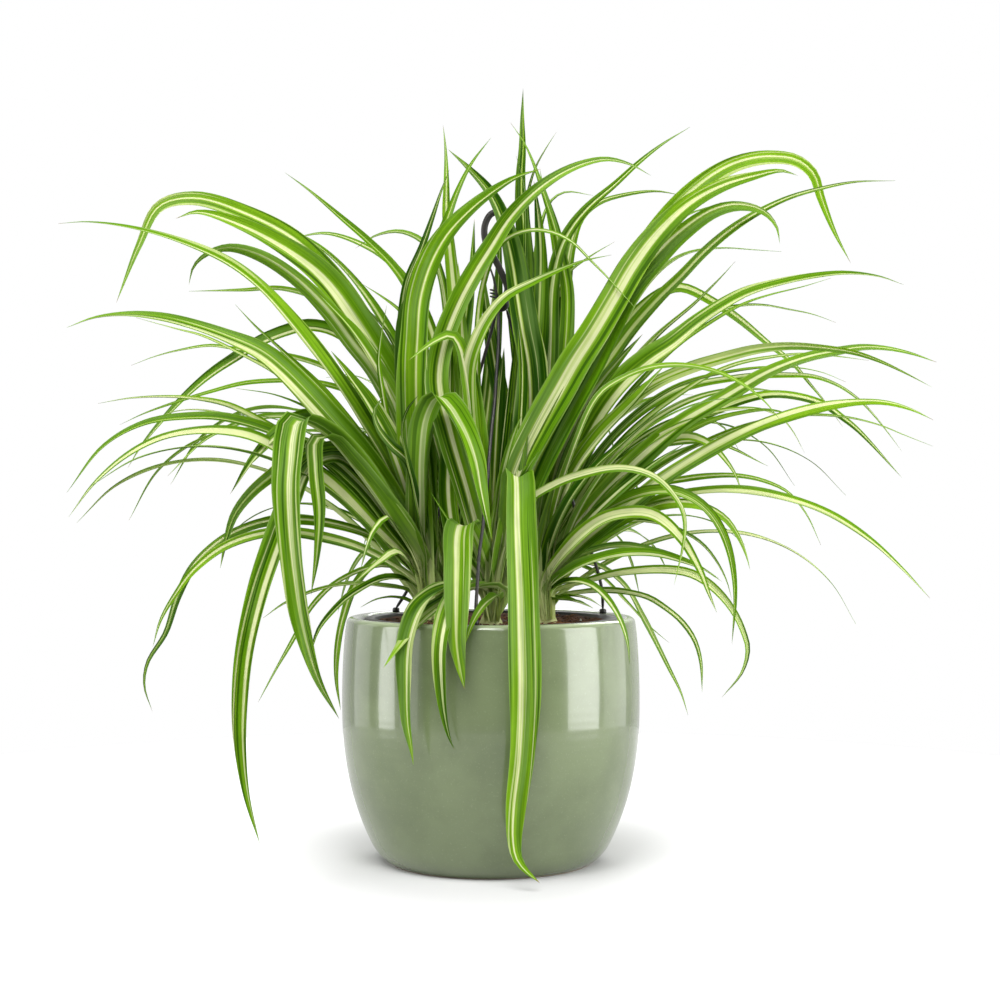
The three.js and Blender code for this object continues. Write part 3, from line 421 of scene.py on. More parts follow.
# Leaf crowns
# Five bunches of strap leaves: each is a rosette of pale clasping bases that stands in the soil and
# opens into folded, arching leaves. They are striped lengthwise in green, yellow-green and cream.
EYE_X, EYE_Z, EYE_DISTANCE = 5.5, 217.5, 1130
CROWNS = {"left": (-38, -6), "right": (33, -8), "front": (0, -24), "back_left": (-24, 34),
          "back_right": (28, 34)}
# A leaf's row: widest, taper, turn at root, turn at tip, depths from root to tip, and the seen X and Z
LEAVES = {"left": [
    # the upper fan, from the top down
    [17, 3.2, 70, 55, [0, 14, 25], [-42, 190, -54, 262, -84, 334, -116, 372, -150, 391, -180, 400, -201, 395,
     -213, 372, -227, 337]],
    [24.5, 2.8, 75, 60, [-10, -8, -4], [-40, 200, -48, 262, -62, 294, -80, 325, -100, 352, -120, 368,
     -150, 384, -178, 392, -191, 388]],
    [21, 2.6, -55, -50, [-22, -18, -16], [-42, 190, -55, 260, -70, 292, -85, 312, -100, 332, -120, 352,
     -140, 365, -158, 370, -171, 367, -180, 359, -183, 348]],
    [17.5, 1.8, 60, 30, [-28, -30, -30], [-41, 180, -60, 235, -78, 266, -95, 292, -120, 325, -140, 347,
     -160, 362, -190, 375, -220, 383, -245, 386, -262, 385]],
    [21, 2.2, 70, 40, [-36, -42, -45], [-40, 172, -60, 215, -80, 245, -97, 265, -125, 295, -140, 307,
     -160, 316, -180, 323, -200, 328, -220, 330, -240, 328, -257, 322]],
    [7, 2.4, 50, 30, [-24, -24, -20], [-42, 175, -85, 245, -125, 290, -150, 305, -175, 317, -190, 321,
     -215, 328]],
    [9.5, 2.4, 50, 40, [-8, 0, 4], [-43, 178, -68, 236, -85, 263, -102, 284, -131, 312, -142, 322,
     -155, 336]],
    [10.5, 2, 50, 35, [-16, -14, 0], [-42, 168, -70, 215, -95, 240, -125, 256, -145, 268, -160, 275,
     -180, 279, -200, 280, -220, 279, -238, 276]],
    [9, 3.2, 50, 50, [-22, -24, -20], [-42, 168, -75, 212, -100, 240, -130, 258, -160, 267, -180, 268,
     -210, 264, -235, 250, -257, 222]],
    [4.5, 2.5, 45, 40, [-8, -2, 6], [-43, 168, -80, 222, -115, 250, -140, 263, -155, 268, -175, 272,
     -192, 271, -212, 262]],
    [12, 2, 50, 55, [-32, -42, -46], [-40, 166, -70, 200, -100, 230, -130, 249, -145, 256, -160, 259,
     -180, 259, -200, 255, -220, 245, -240, 228, -256, 207]],
    [19, 2.2, 60, 60, [-18, -34, -38], [-41, 185, -48, 204, -70, 239, -92, 262, -110, 268, -125, 262,
     -142, 246, -158, 221]],
    [12.5, 3.2, 60, 70, [-26, -34, -24], [-40, 172, -60, 203, -82, 230, -100, 244, -118, 243, -132, 233,
     -145, 222, -155, 209, -160, 195, -164, 176]],
    [7.5, 3.2, 60, 70, [-32, -40, -42], [-41, 162, -70, 184, -98, 194, -130, 198, -160, 190, -180, 175,
     -190, 162, -200, 145, -205, 128]],
    [7, 3.2, 60, 80, [-18, -20, -20], [-42, 166, -65, 191, -97, 203, -130, 205, -150, 200, -166, 191,
     -181, 176, -190, 158, -197, 137, -208, 119, -210, 105, -205, 89]],
    # the leaves that fold over and hang in front of the left side
    [16, 3.4, 60, 80, [-26, -46, -56, -54, -50], [-42, 176, -68, 224, -92, 246, -111, 240, -122, 217,
     -131, 193, -141, 163, -149, 128, -152, 98, -152, 70, -148, 38, -140, 9]],
    [24, 4, 8, 4, [-20, -26, -32, -37, -42, -46, -51, -76, -84, -86, -86, -85, -84, -83, -82, -81, -80],
     [-39, 166, -60, 204, -80, 233, -97, 254, -108, 262, -116, 265, -119, 258, -121, 240, -122, 225,
     -121, 198, -118, 168, -114, 142, -105, 110, -92, 85]],
    [18, 3.4, 6, 4, [-22, -30, -38, -44, -52, -70, -74, -74, -72], [-38, 170, -62, 212, -86, 242, -98, 255,
     -104, 254, -105, 238, -103, 210, -105, 184, -109, 160]],
    # low leaves over the rim and short ones inside it
    [5, 3.2, 30, 40, [-12, -20, -28], [-48, 161, -65, 165, -85, 166.5, -105, 163, -125, 155, -138, 146]],
    [6.5, 3, 30, 50, [-30, -62, -72], [-47, 166, -63, 170, -80, 163, -95, 151, -105, 138, -110, 121]],
    [6, 3.2, 30, 50, [-4, 2, 10], [-46, 168, -64, 177, -90, 169, -108, 153, -120, 132, -130, 115, -141, 95]],
    [6.5, 2, 10, 10, [-10, -16], [-50, 156, -60, 158.5, -70, 157, -79, 152.5]],
    [7, 3, 30, 40, [-30, -44], [-43, 172, -53, 196, -62, 207, -70, 200, -75, 189, -79, 175]],
    [7, 3.2, 30, 40, [-34, -52], [-45, 168, -57, 186, -66, 181, -75, 174, -84, 166]],
    # upright leaves left of the middle
    [9.5, 3.2, 80, 70, [-16, -14, -12], [-41, 210, -50, 262, -54, 305, -53, 330, -50, 350, -42, 370,
     -35, 390, -30, 405, -25, 418]],
    [13.5, 2.4, 80, 60, [-22, -26, -22], [-40, 205, -49, 260, -53, 300, -52, 328, -45, 346, -38, 363,
     -29, 381, -20, 405, -12, 421, 0, 437]],
    [24.5, 2.4, 80, 60, [-30, -40, -46], [-42, 200, -46, 250, -47, 294, -46, 316, -44, 340, -38, 360,
     -28, 378, -15, 392, 0, 404, 15, 413, 30, 418]],
    [12, 2.4, 70, 50, [-6, 2, 2], [-39, 205, -41, 280, -44, 324, -50, 345, -60, 360, -75, 375, -90, 388,
     -110, 405, -125, 416]],
    # the broad leaf that kinks and drops in front of the middle
    [21.5, 3.4, 4, 6, [-24, -32, -40, -46, -54, -74, -78, -78, -76], [-40, 182, -41, 215, -41, 245, -38, 268,
     -31, 280, -25, 275, -19, 266, -13, 254, -8.5, 240, -6, 225, -2, 205, 1, 192]],
    [12, 3, 40, 60, [-30, -48, -54], [-41, 180, -46, 215, -50, 240, -61, 251, -69, 262, -71, 271, -65, 281]],
    [11, 3, 40, 60, [-34, -50, -52], [-40, 185, -47, 225, -52, 247, -54, 260, -51, 272, -44, 281]],
    [7, 2.4, 80, 80, [-20, -30, -32], [-41, 190, -54, 236, -62, 263, -66, 285, -68, 302, -66, 320,
     -63, 336]],
    [9, 2, 60, 60, [-12, -4, 0], [-39, 210, -40, 270, -46, 318, -55, 332, -65, 340, -79, 349]],
    [11, 2.4, -60, -60, [-14, -18, -16], [-41, 215, -46, 270, -54, 300, -62, 318, -70, 328, -77, 335]],
    [17.5, 2.8, 60, 60, [-24, -32, -34], [-40, 190, -56, 245, -72, 275, -86, 294, -97, 308]],
    [16, 2.8, 70, 60, [-16, -24, -26], [-40, 200, -50, 262, -66, 296, -84, 322, -104, 342]],
], "right": [
    [17, 3.2, 72, 60, [0, 14, 25], [37, 190, 46, 262, 72, 330, 98, 376, 120, 402, 140, 417, 155, 423,
     170, 425, 185, 423, 195, 415, 200, 400, 208, 380, 218, 361]],
    [19, 1.8, 60, 30, [-12, -14, -14], [31, 185, 36, 225, 44, 248, 60, 282, 75, 304, 88, 322, 102, 338,
     116, 352, 130, 367, 145, 380, 160, 390, 180, 400, 200, 406, 220, 410, 245, 411]],
    [17.5, 2.2, 70, 40, [-20, -28, -34], [34, 175, 42, 215, 53, 248, 66, 272, 80, 290, 95, 303, 110, 313,
     125, 325, 140, 335, 155, 343, 175, 349, 195, 353, 215, 355, 235, 353, 250, 348]],
    [12, 2, -50, -35, [-26, -38, -44], [34, 205, 44, 239, 60, 257, 75, 270, 90, 283, 103, 291, 120, 298,
     140, 304, 160, 309, 180, 311, 200, 310, 220, 307, 235, 302, 250, 295, 267, 286]],
    [7, 2.4, 50, 30, [-6, -2, 4], [38, 190, 70, 262, 108, 306, 138, 328, 155, 337, 170, 342, 190, 347,
     206, 352]],
    [9.5, 2.4, 50, 40, [-4, 0, 4], [37, 200, 68, 275, 98, 314, 124, 337, 139, 352, 148, 362]],
    [17, 3.2, 60, 35, [-18, -24, -26], [33, 168, 50, 196, 76, 226, 105, 253, 120, 265, 135, 274, 150, 283,
     165, 292, 180, 299, 195, 304, 210, 307, 225, 309.5, 240, 309, 255, 306, 270, 301]],
    [14.5, 3.2, 60, 40, [-24, -44, -56], [33, 164, 50, 184, 70, 201, 90, 216, 105, 228, 120, 238, 135, 247,
     150, 255, 165, 262, 185, 269, 205, 274, 225, 276.5, 240, 276, 255, 272, 268, 266]],
    [5.5, 2.4, 45, 35, [-4, 2, 6], [38, 172, 90, 228, 140, 257, 180, 268, 212, 268, 235, 263, 250, 257,
     268, 250]],
    [5.5, 2.4, 45, 40, [0, 8, 12], [40, 200, 70, 252, 110, 285, 150, 296, 180, 298, 200, 295, 215, 289]],
    [8, 2.4, 40, 50, [-34, -52, -62], [35, 190, 52, 252, 66, 281, 80, 291, 95, 297, 110, 299, 125, 298,
     140, 294, 155, 286, 166, 277, 176, 265]],
    [10.5, 2, 50, 50, [-8, -6, 0], [35, 172, 70, 218, 100, 247, 130, 264, 150, 270, 170, 272, 187, 267]],
    [5, 2.4, 50, 60, [2, 12, 20], [40, 180, 80, 240, 125, 268, 160, 273, 175, 268, 183, 259, 190, 246]],
    [5.5, 2.4, 50, 60, [-2, 4, 8], [39, 178, 64, 230, 95, 258, 120, 268, 139, 263, 146, 255, 151, 246]],
    [10.5, 3.2, 50, 60, [-14, -12, -8], [36, 172, 60, 214, 84, 240, 105, 253, 120, 256, 133, 251, 141, 243,
     148, 233, 152, 222]],
    [8.5, 4.4, 50, 35, [-20, -32, -38], [34, 163, 60, 194, 90, 212, 120, 221, 150, 223, 180, 218, 205, 209,
     230, 193, 250, 175, 266, 158]],
    [5.5, 3.2, 50, 50, [0, 6, 10], [38, 168, 75, 211, 100, 226, 118, 230, 135, 232, 150, 232, 165, 229,
     180, 222, 191, 209, 200, 190]],
    # the leaves that arch over low on the right and hang
    [7.5, 3, 60, 75, [-28, -48, -56], [34, 168, 58, 204, 78, 217, 95, 223, 110, 223.5, 122, 219, 132, 211,
     140, 199, 145, 185, 147.5, 170, 148, 155, 147, 142, 146, 130]],
    [8.5, 3, 60, 70, [-16, -26, -30], [35, 167, 68, 198, 98, 213, 115, 215.5, 130, 213, 142, 206, 150, 195,
     155, 183, 157, 175]],
    [9.5, 3.4, 60, 70, [-36, -62, -72], [33, 168, 50, 192, 68, 206, 85, 210, 97, 209, 107, 203, 117, 192,
     123, 182, 128, 172, 132, 161, 137, 149]],
    [4, 3.2, 50, 60, [-6, -4, 0], [38, 172, 65, 197, 85, 205, 100, 204, 115, 199, 128, 191, 137, 180,
     143, 168, 146, 157]],
    [6, 3.2, 50, 50, [2, 12, 20], [37, 168, 50, 182, 65, 188, 80, 190, 95, 188, 110, 184, 125, 178,
     140, 168]],
    [10, 2.2, 50, 50, [-30, -46, -52], [34, 162, 46, 173, 60, 180, 80, 185, 100, 185, 115, 181, 130, 175,
     138, 170]],
    [7, 3.2, 50, 60, [-16, -22, -22], [38, 160, 60, 168, 80, 173, 105, 175, 120, 173, 130, 168, 140, 159,
     148, 148, 153, 137, 155.5, 127, 152, 113, 140, 98]],
    [6, 3.2, 40, 60, [-4, 4, 8], [42, 158, 55, 161, 68, 162, 82, 161, 95, 158, 105, 152, 115, 144, 123, 133,
     127, 120, 128, 101]],
    [7, 2.4, 30, 40, [-36, -58, -66], [38, 163, 50, 168, 60, 166, 68, 160, 75, 151, 80, 141, 83, 130,
     84, 118]],
    [9.5, 2.4, 0, 0, [-20, -32], [36, 156, 44, 157, 53, 155.5, 62, 152]],
    [8, 2.4, 0, 0, [-14, -18], [42, 158, 52, 159, 60, 157, 67, 153]],
    # upright leaves right of the middle
    [7, 2.4, 60, 50, [-2, 6, 8], [33, 240, 34, 300, 38, 335, 45, 353, 60, 365, 75, 374]],
    [13.5, 2.4, 80, 50, [-6, -6, -12], [35, 220, 42, 280, 46, 325, 46, 345, 43, 362, 39, 381, 33, 400,
     29, 412, 25, 423, 20, 434, 12, 446]],
    [11, 2.4, 80, 70, [0, 10, 12], [34, 240, 40, 300, 42, 340, 39, 370, 35, 390, 32, 405, 29.5, 419]],
    [10.5, 3.2, 60, 50, [0, 16, 20], [36, 240, 44, 320, 49, 370, 55, 388, 65, 397, 80, 402, 100, 404.5,
     116, 402]],
    [14, 3.2, 70, 40, [-10, -8, -8], [32, 230, 36, 300, 38, 348, 43, 370, 50, 383, 60, 395, 75, 408, 90, 422,
     104, 433, 120.6, 443.5]],
    [17.5, 2.8, 60, 60, [-14, -20, -22], [34, 195, 44, 246, 58, 276, 76, 300, 92, 318]],
    [16, 2.8, 60, 50, [-24, -30, -32], [34, 190, 48, 232, 66, 258, 88, 280, 106, 300]],
    [12, 2.6, 50, 40, [-30, -36, -38], [34, 180, 46, 214, 62, 236, 82, 254, 100, 270]],
    [12, 2.6, 50, 40, [-24, -38, -44], [35, 172, 56, 200, 78, 222, 100, 240, 118, 252]],
], "front": [
    # broad leaves folded over the front rim
    [20.5, 6, 0, 0, [-36, -44, -54, -65, -78, -87, -91.5, -94, -96, -97, -97, -97, -96, -95.5, -95.5, -96,
     -97], [9, 178, 13, 208, 15.5, 229, 16, 232.5, 16.5, 226, 17, 200, 19, 150, 20, 100, 18, 60, 14.5, 30,
     14, 10, 16, 0, 21, -7, 29.7, -14.6]],
    [19, 5, 0, 0, [-34, -46, -65, -82, -90, -94, -96, -96.5, -96.5], [-3, 168, -10, 190, -17, 202, -19, 196,
     -19.5, 178, -20, 150, -20, 130, -18, 115, -16, 103]],
    [16, 3, 10, 10, [-40, -58, -78, -92, -98], [5, 162, -2, 164.5, -12, 163, -25, 157, -38, 148.5, -50, 136,
     -65, 116]],
    [15.5, 3.2, 0, 10, [-52, -78, -90, -93, -92, -91, -90], [-8, 162, -24, 163, -36, 159, -45, 149, -51, 130,
     -52, 105, -51, 82, -48, 65, -47, 57]],
    [12.5, 3.2, 0, 0, [-62, -88, -97, -98, -97, -96, -95], [-3, 162, -12, 164, -21, 160, -27, 149, -31, 128,
     -30, 100, -28, 85, -25, 73, -22, 66]],
    [9, 2.8, 0, 0, [-70, -88, -94, -95], [5, 158, 0, 157, -7, 150, -12, 141, -16, 129]],
    # leaves that rise from the front crown and lean right
    [23, 3, 80, 74, [-30, -30, -28, -26], [2, 168, 5, 190, 9, 208, 16, 235, 28, 260, 42, 285, 51, 301,
     62, 318, 75, 340, 86, 359, 101, 379, 120, 397, 140, 408, 160, 414, 176, 417, 186, 414]],
    [20, 3, 80, 62, [-28, -28, -24, -22], [8, 175, 20, 215, 30, 240, 38, 256, 48, 275, 60, 297, 72, 322,
     85, 345, 100, 363, 116, 379, 135, 392, 150, 395.5, 165, 392, 173, 383, 175, 373]],
    [7, 2.6, 50, 60, [-44, -62, -70], [8, 180, 20, 213, 39, 226.5, 55, 232.5, 75, 236.5, 90, 235, 101, 230,
     110, 221, 116, 211, 117.5, 200, 116, 188, 111, 166]],
    [4, 2.4, 60, 60, [-30, -30, -30], [3, 185, 2.5, 212, 5, 229, 12, 243, 23, 255]],
    # upright and arching leaves of the middle
    [17.5, 3, 80, 50, [-27, -34, -46], [-5, 180, -7, 215, -9, 250, -11, 275, -15, 299, -19, 312, -24, 317.5,
     -32, 315, -41, 309, -50, 302]],
    [13.5, 2.6, 80, 80, [-28, -28, -26], [-6, 168, -20, 188, -26, 215, -26, 250, -25, 290, -24, 322]],
    [7, 2.4, 40, 40, [-42, -50], [-6, 172, -19, 195, -29, 210, -37, 223]],
    [15, 2.6, 60, 60, [-22, -16, -12], [-3, 180, -12, 208, -22, 234, -30, 262]],
    [16, 2, 80, 70, [-20, -8, -4], [-5, 200, -14, 270, -21, 330, -25, 370, -27, 392, -27, 412, -27.5, 430,
     -29, 445]],
    [23, 2.8, 85, 60, [-22, -18, -18], [7, 190, 20, 235, 26, 270, 25, 300, 21, 322, 18, 341, 15, 360,
     10, 380, 4, 396, -2, 406, -14, 419, -26, 430]],
    [18.5, 2.2, 80, 55, [-36, -33, -32, -30], [-4, 180, -14, 220, -25, 258, -32, 290, -28, 315, -20, 336,
     -10, 355, 0, 371, 11, 388, 25, 403, 40, 414, 55, 421, 70, 424, 84, 421, 97, 414]],
    [5.5, 2.4, 60, 60, [-26, -26, -34], [-3, 230, -8, 295, -6, 340, 0, 362, 5, 371, 12, 377, 25, 381,
     39, 379, 50, 373, 60, 363, 70, 353, 80, 342, 91, 330]],
    [13.5, 2.4, 75, 50, [-32, -46, -52], [-5, 215, -12, 262, -13, 298, -8, 315, 0, 330, 10, 341, 25, 349,
     40, 356, 55, 362, 73, 366]],
    [14, 3.2, 80, 80, [-18, 0, 4], [6, 200, 14, 262, 20, 320, 20, 370, 18, 400, 18, 415, 19, 430, 19, 450,
     19.5, 467]],
    [7, 2.4, 70, 60, [-16, 8, 12], [9, 215, 21, 290, 25, 350, 22, 398, 24, 410, 27.5, 420, 33, 430,
     40, 441]],
    [7, 2.4, 80, 70, [-18, -12, -10], [6, 210, 15, 280, 20, 345, 21, 385, 20, 408, 15, 427]],
    [19, 3, 80, 80, [-18, -8, -6], [8, 200, 21, 255, 28, 310, 30, 350, 30, 372, 28, 395, 26, 411]],
    [16, 2.8, 80, 80, [-16, -10, -8], [2, 190, 4, 240, 6, 280, 8, 310]],
    [13.5, 2.8, 80, 80, [-28, -30, -26], [-4, 190, -10, 240, -15, 284, -18, 330, -20, 362]],
    [13.5, 2.8, 80, 80, [-30, -28, -26], [6, 185, 14, 222, 18, 262, 19, 300, 16, 330]],
], "back_left": [
    [12, 3.2, 40, 30, [40, 46, 52], [-30, 220, -66, 300, -96, 334, -125, 345, -150, 344.5, -183, 344]],
    [9, 2, 40, 40, [38, 46, 60], [-36, 220, -76, 280, -100, 297, -125, 305, -155, 309, -170, 311, -190, 308,
     -205, 304, -218, 299]],
    [11, 3.2, 50, 60, [40, 54, 70], [-30, 215, -64, 290, -92, 318, -110, 323, -124, 320, -140, 313.5,
     -155, 304, -170, 294, -185, 281, -200, 265, -212, 250, -220, 237]],
    [6, 3.2, 50, 50, [34, 38, 48], [-34, 205, -56, 260, -72, 277, -92, 285, -110, 289, -130, 289.5,
     -150, 288, -170, 283, -190, 277, -210, 270, -225, 263]],
    [9.5, 2.8, 40, 60, [42, 42, 40], [-36, 180, -62, 184, -80, 168, -89, 146, -93, 125, -93.5, 108,
     -91, 90]],
    [10, 3.2, 60, 50, [34, 26, 24], [-20, 230, -26, 320, -31, 355, -39, 372, -54, 380, -69, 378, -82, 370]],
    [10.5, 3.2, 60, 50, [38, 36, 42], [-23, 240, -36, 318, -48, 344, -60, 360, -76, 371, -100, 379,
     -124, 375]],
    [12, 2.6, 40, 40, [40, 50, 58], [-28, 230, -52, 300, -84, 352, -112, 376, -140, 384]],
    [11, 2.4, 40, 50, [42, 56, 66], [-32, 200, -62, 240, -96, 262, -134, 268, -170, 256, -196, 232]],
    # leaves that stand in shade behind the hanger, their green painted as shade
    [15, 3, 80, 70, [36, 30, 24], [-20, 180, -8, 230, 0, 290, 4, 340, 6, 385]],
    [13, 3, 75, 70, [40, 44, 44], [-22, 180, -22, 240, -18, 300, -12, 350, -10, 388]],
], "back_right": [
    [9.5, 2.4, 40, 30, [40, 46, 54], [34, 210, 64, 290, 92, 344, 108, 361, 121, 367.5, 140, 370, 160, 369,
     176, 368]],
    [9, 2, 40, 40, [38, 46, 58], [40, 210, 72, 275, 100, 310, 130, 330, 150, 335, 165, 335.5, 180, 333,
     195, 330, 209, 325]],
    [12, 2, 50, 60, [42, 56, 72], [34, 210, 60, 285, 90, 332, 113, 346, 135, 337, 150, 327, 168, 312,
     182, 301, 193, 288, 203, 276, 213, 262]],
    [7, 2.4, 50, 40, [36, 42, 52], [38, 190, 82, 255, 120, 285, 135, 294, 150, 300, 170, 304, 190, 306,
     210, 304.5, 229, 302]],
    [9, 3.2, 50, 60, [38, 44, 56], [38, 180, 80, 232, 122, 264, 168, 281, 200, 276, 212, 268, 221, 261,
     231, 251, 240, 241, 249, 231]],
    [7, 2.4, 50, 60, [42, 58, 72], [36, 190, 72, 252, 110, 282, 150, 291.5, 180, 293, 196, 292, 210, 287,
     222, 279, 231, 270, 240, 259, 249, 247]],
    [6, 3.2, 30, 60, [46, 62, 64], [42, 175, 62, 178, 80, 166, 92, 146, 101, 129, 108, 115, 115, 101,
     119.5, 87]],
    [5.5, 2.2, 30, 50, [56, 74, 78], [40, 178, 62, 174, 82, 156, 96, 141, 108, 131]],
    [9.5, 2.4, 60, 50, [36, 28, 26], [26, 250, 25, 330, 29, 376, 36, 398, 45, 404, 62, 402]],
    [12, 2.6, 40, 40, [40, 50, 58], [32, 230, 54, 300, 86, 356, 112, 386, 140, 398]],
    [11, 2.4, 40, 50, [42, 56, 66], [36, 190, 66, 232, 100, 250, 136, 252, 168, 238]],
    # leaves that stand in shade behind the hanger, their green painted as shade
    [15, 3, 80, 70, [30, 22, 18], [24, 180, 14, 235, 4, 290, -3, 335, -6, 366]],
    [13, 3, 75, 70, [38, 44, 44], [26, 190, 24, 250, 16, 310, 12, 350, 13, 392]],
]}
# A row of hidden leaves: how many, then the ranges of their headings, lengths and rises
HIDDEN = {
    "left": [[2, 165, 205, 150, 230, 70, 82], [2, 150, 215, 230, 290, 52, 66]],
    "right": [[3, -25, 15, 150, 230, 70, 82]],
    "front": [[2, 288, 310, 110, 170, 80, 86]],
    "back_left": [[4, 96, 166, 160, 250, 68, 84], [5, 92, 166, 260, 330, 50, 70],
                  [4, 98, 160, 190, 260, 28, 46]],
    "back_right": [[4, 14, 84, 160, 250, 68, 84], [5, 12, 88, 260, 330, 50, 70],
                   [4, 14, 80, 190, 260, 28, 46]],
}
SEED, LEAF_SEED = 20, 50
HIDDEN_WIDTH, HIDDEN_WIDER, HIDDEN_TAPER = 8, 6, 2.2
ARCH_STEPS, ARCH_DROP = 8, 105
STUB_RADIUS, STUB_FOOT, STUB_SHOULDER, STUB_TOP = 10, 129, 146, 158
STUB_WAIST = [STUB_FOOT, 138, 145, 149, 153, STUB_TOP], [0.5, 0.75, 0.7, 0.5, 0.3, 0.1]
STUB_SIDES, STUB_RINGS, STUB_FOLDS, STUB_RUN, STUB_GIRTH = 60, 26, 7, 420, 6.0
ROOT_ACROSS, ROOT_DEEP, ROOT_LEAN = 2, 7, 0.02
LEAF_THICK, LEAF_STEP, LEAF_STEPS, ACROSS = 0.5, 4.5, (16, 84), 10
ROOT_WIDTH, WIDENING = 0.58, 1.4
FOLD_TIP, FOLD_ROOT = 12, 44
KEEL_ROUND, KEEL_LOW, BELLY, RUFFLE = 0.02, 0.1414, 0.04, 0.05
TWIST, WAVER = 4, 0.03
# A leaf turned by more than this share of the way to the eye is turned further still
FACING_FROM, FACING_OVER, FACING = 0.55, 0.2, 0.6
# Stripes: half-width of the pale middle, pale margin, green's brightness, creaminess
STRIPES = {
    "green": (0.06, 0.15, 0.5, 0.3),
    "line": (0.17, 0.2, 0.50, 0.6),
    "wide": (0.30, 0.2, 0.55, 0.5),
    "cream": (0.56, 0.2, 0.65, 0.4),
    "edged": (0.12, 1.0, 0.6, 0.6),
    "lime": (0.20, 0.3, 0.85, 0.4),
    # This kind paints shade: it holds the green near the deepest green, for leaves that stand in shade deep
    # in the crowns and behind the hanger.
    "dark": (0.07, 0.1, 0.02, 0.4),
}
DRAWN_STRIPES = ("line", "wide", "green", "cream", "wide", "edged", "line", "lime", "wide", "cream")
# The stripes of the leaves that stand out, and how far off the keel the pale middle is
STRIPED = {
    "left": {0: ("line", -0.1), 1: ("wide", 0.2), 2: ("line", 0.25), 3: ("line", 0.45), 4: ("wide", 0.5),
             5: ("cream", 0), 6: ("lime", 0.3), 7: ("cream", 0), 11: ("wide", 0.6), 12: ("edged", 0),
             15: ("line", 0.45), 16: ("line", 0), 17: ("line", -0.2), 24: ("dark", 0), 25: ("green", 0),
             26: ("green", -0.2), 27: ("green", 0.2), 28: ("line", -0.1), 29: ("dark", 0), 30: ("dark", 0),
             31: ("line", 0), 32: ("dark", 0), 33: ("dark", 0.1), 34: ("line", 0.5), 35: ("line", 0.5)},
    "right": {0: ("line", 0.2), 1: ("line", 0.3), 2: ("wide", -0.5), 3: ("lime", 0), 6: ("line", 0.3),
              7: ("wide", 0.5), 15: ("cream", -0.2), 29: ("green", 0), 30: ("green", 0), 31: ("line", 0.3),
              32: ("line", 0.1), 33: ("line", 0.1), 34: ("wide", -0.4), 35: ("dark", 0), 36: ("line", 0.3)},
    "front": {0: ("line", -0.15), 1: ("line", -0.15), 2: ("line", 0.4), 3: ("line", 0.3), 4: ("line", 0.2),
              5: ("line", 0), 6: ("wide", 0), 7: ("line", 0.4), 10: ("wide", 0.2), 11: ("line", -0.1),
              12: ("green", 0), 13: ("dark", 0), 14: ("wide", 0), 15: ("dark", 0.25), 16: ("line", -0.1),
              18: ("wide", 0.4), 19: ("dark", -0.2), 20: ("dark", 0), 21: ("dark", 0), 22: ("dark", 0),
              23: ("dark", 0.3), 24: ("wide", 0), 25: ("dark", 0)},
    "back_left": {9: ("dark", 0), 10: ("dark", 0.2)},
    "back_right": {11: ("dark", 0), 12: ("dark", 0.2)},
}
# A strip of the map: half its width, its start and length, and how much longer the foot's is drawn
STRIP_HALF, STRIP_START, STRIP_LENGTH, STRIP_FOOT = 0.46, 0.01, 0.48, 6
LEAF_DEEP, LEAF_MID, LEAF_BRIGHT = (0.013, 0.068, 0.001), (0.135, 0.315, 0.006), (0.310, 0.550, 0.022)
LEAF_LIME, LEAF_PALE, LEAF_CREAM = (0.45, 0.60, 0.09), (0.72, 0.78, 0.34), (0.88, 0.88, 0.60)
LEAF_BASE, LEAF_UNDER = (0.82, 0.86, 0.42), (0.15, 0.30, 0.03)
LEAF_GREY, LEAF_DRY = (0.20, 0.35, 0.08), (0.30, 0.17, 0.06)


def draws(seed):
    """Even draws between 0 and 1, the same as those of the solids."""
    state = seed
    while True:
        state = state * 16807 % 2147483647
        yield state / 2147483647


def placed(seen, depths):
    """Points seen on the plane y = 0, set back or brought forward to their depths along the route."""
    flat = np.array(seen, float).reshape(-1, 2)
    run = np.concatenate([[0], np.cumsum(np.linalg.norm(np.diff(flat, axis=0), axis=1))])
    y = np.interp(run / run[-1], np.linspace(0, 1, len(depths)), depths)
    scale = (EYE_DISTANCE + y) / EYE_DISTANCE
    return np.stack([EYE_X + (flat[:, 0] - EYE_X) * scale, y, EYE_Z + (flat[:, 1] - EYE_Z) * scale], axis=1)


def arch_route(x, y, angle, length, rise):
    """The route of a hidden leaf: it leaves the crown at a steep angle and arches over."""
    at, heading = np.array([x, y, STUB_SHOULDER], float), math.radians(angle)
    route = [at.copy()]
    for i in range(ARCH_STEPS):
        slope = math.radians(rise - ARCH_DROP * (i / (ARCH_STEPS - 1)) ** 1.5 * (length / 300))
        at += length / ARCH_STEPS * np.array([math.cos(heading) * math.cos(slope),
                                              math.sin(heading) * math.cos(slope), math.sin(slope)])
        route.append(at.copy())
    return np.array(route)


def unit(rows):
    """Each row brought to a length of 1."""
    return rows / np.linalg.norm(rows, axis=1, keepdims=True)


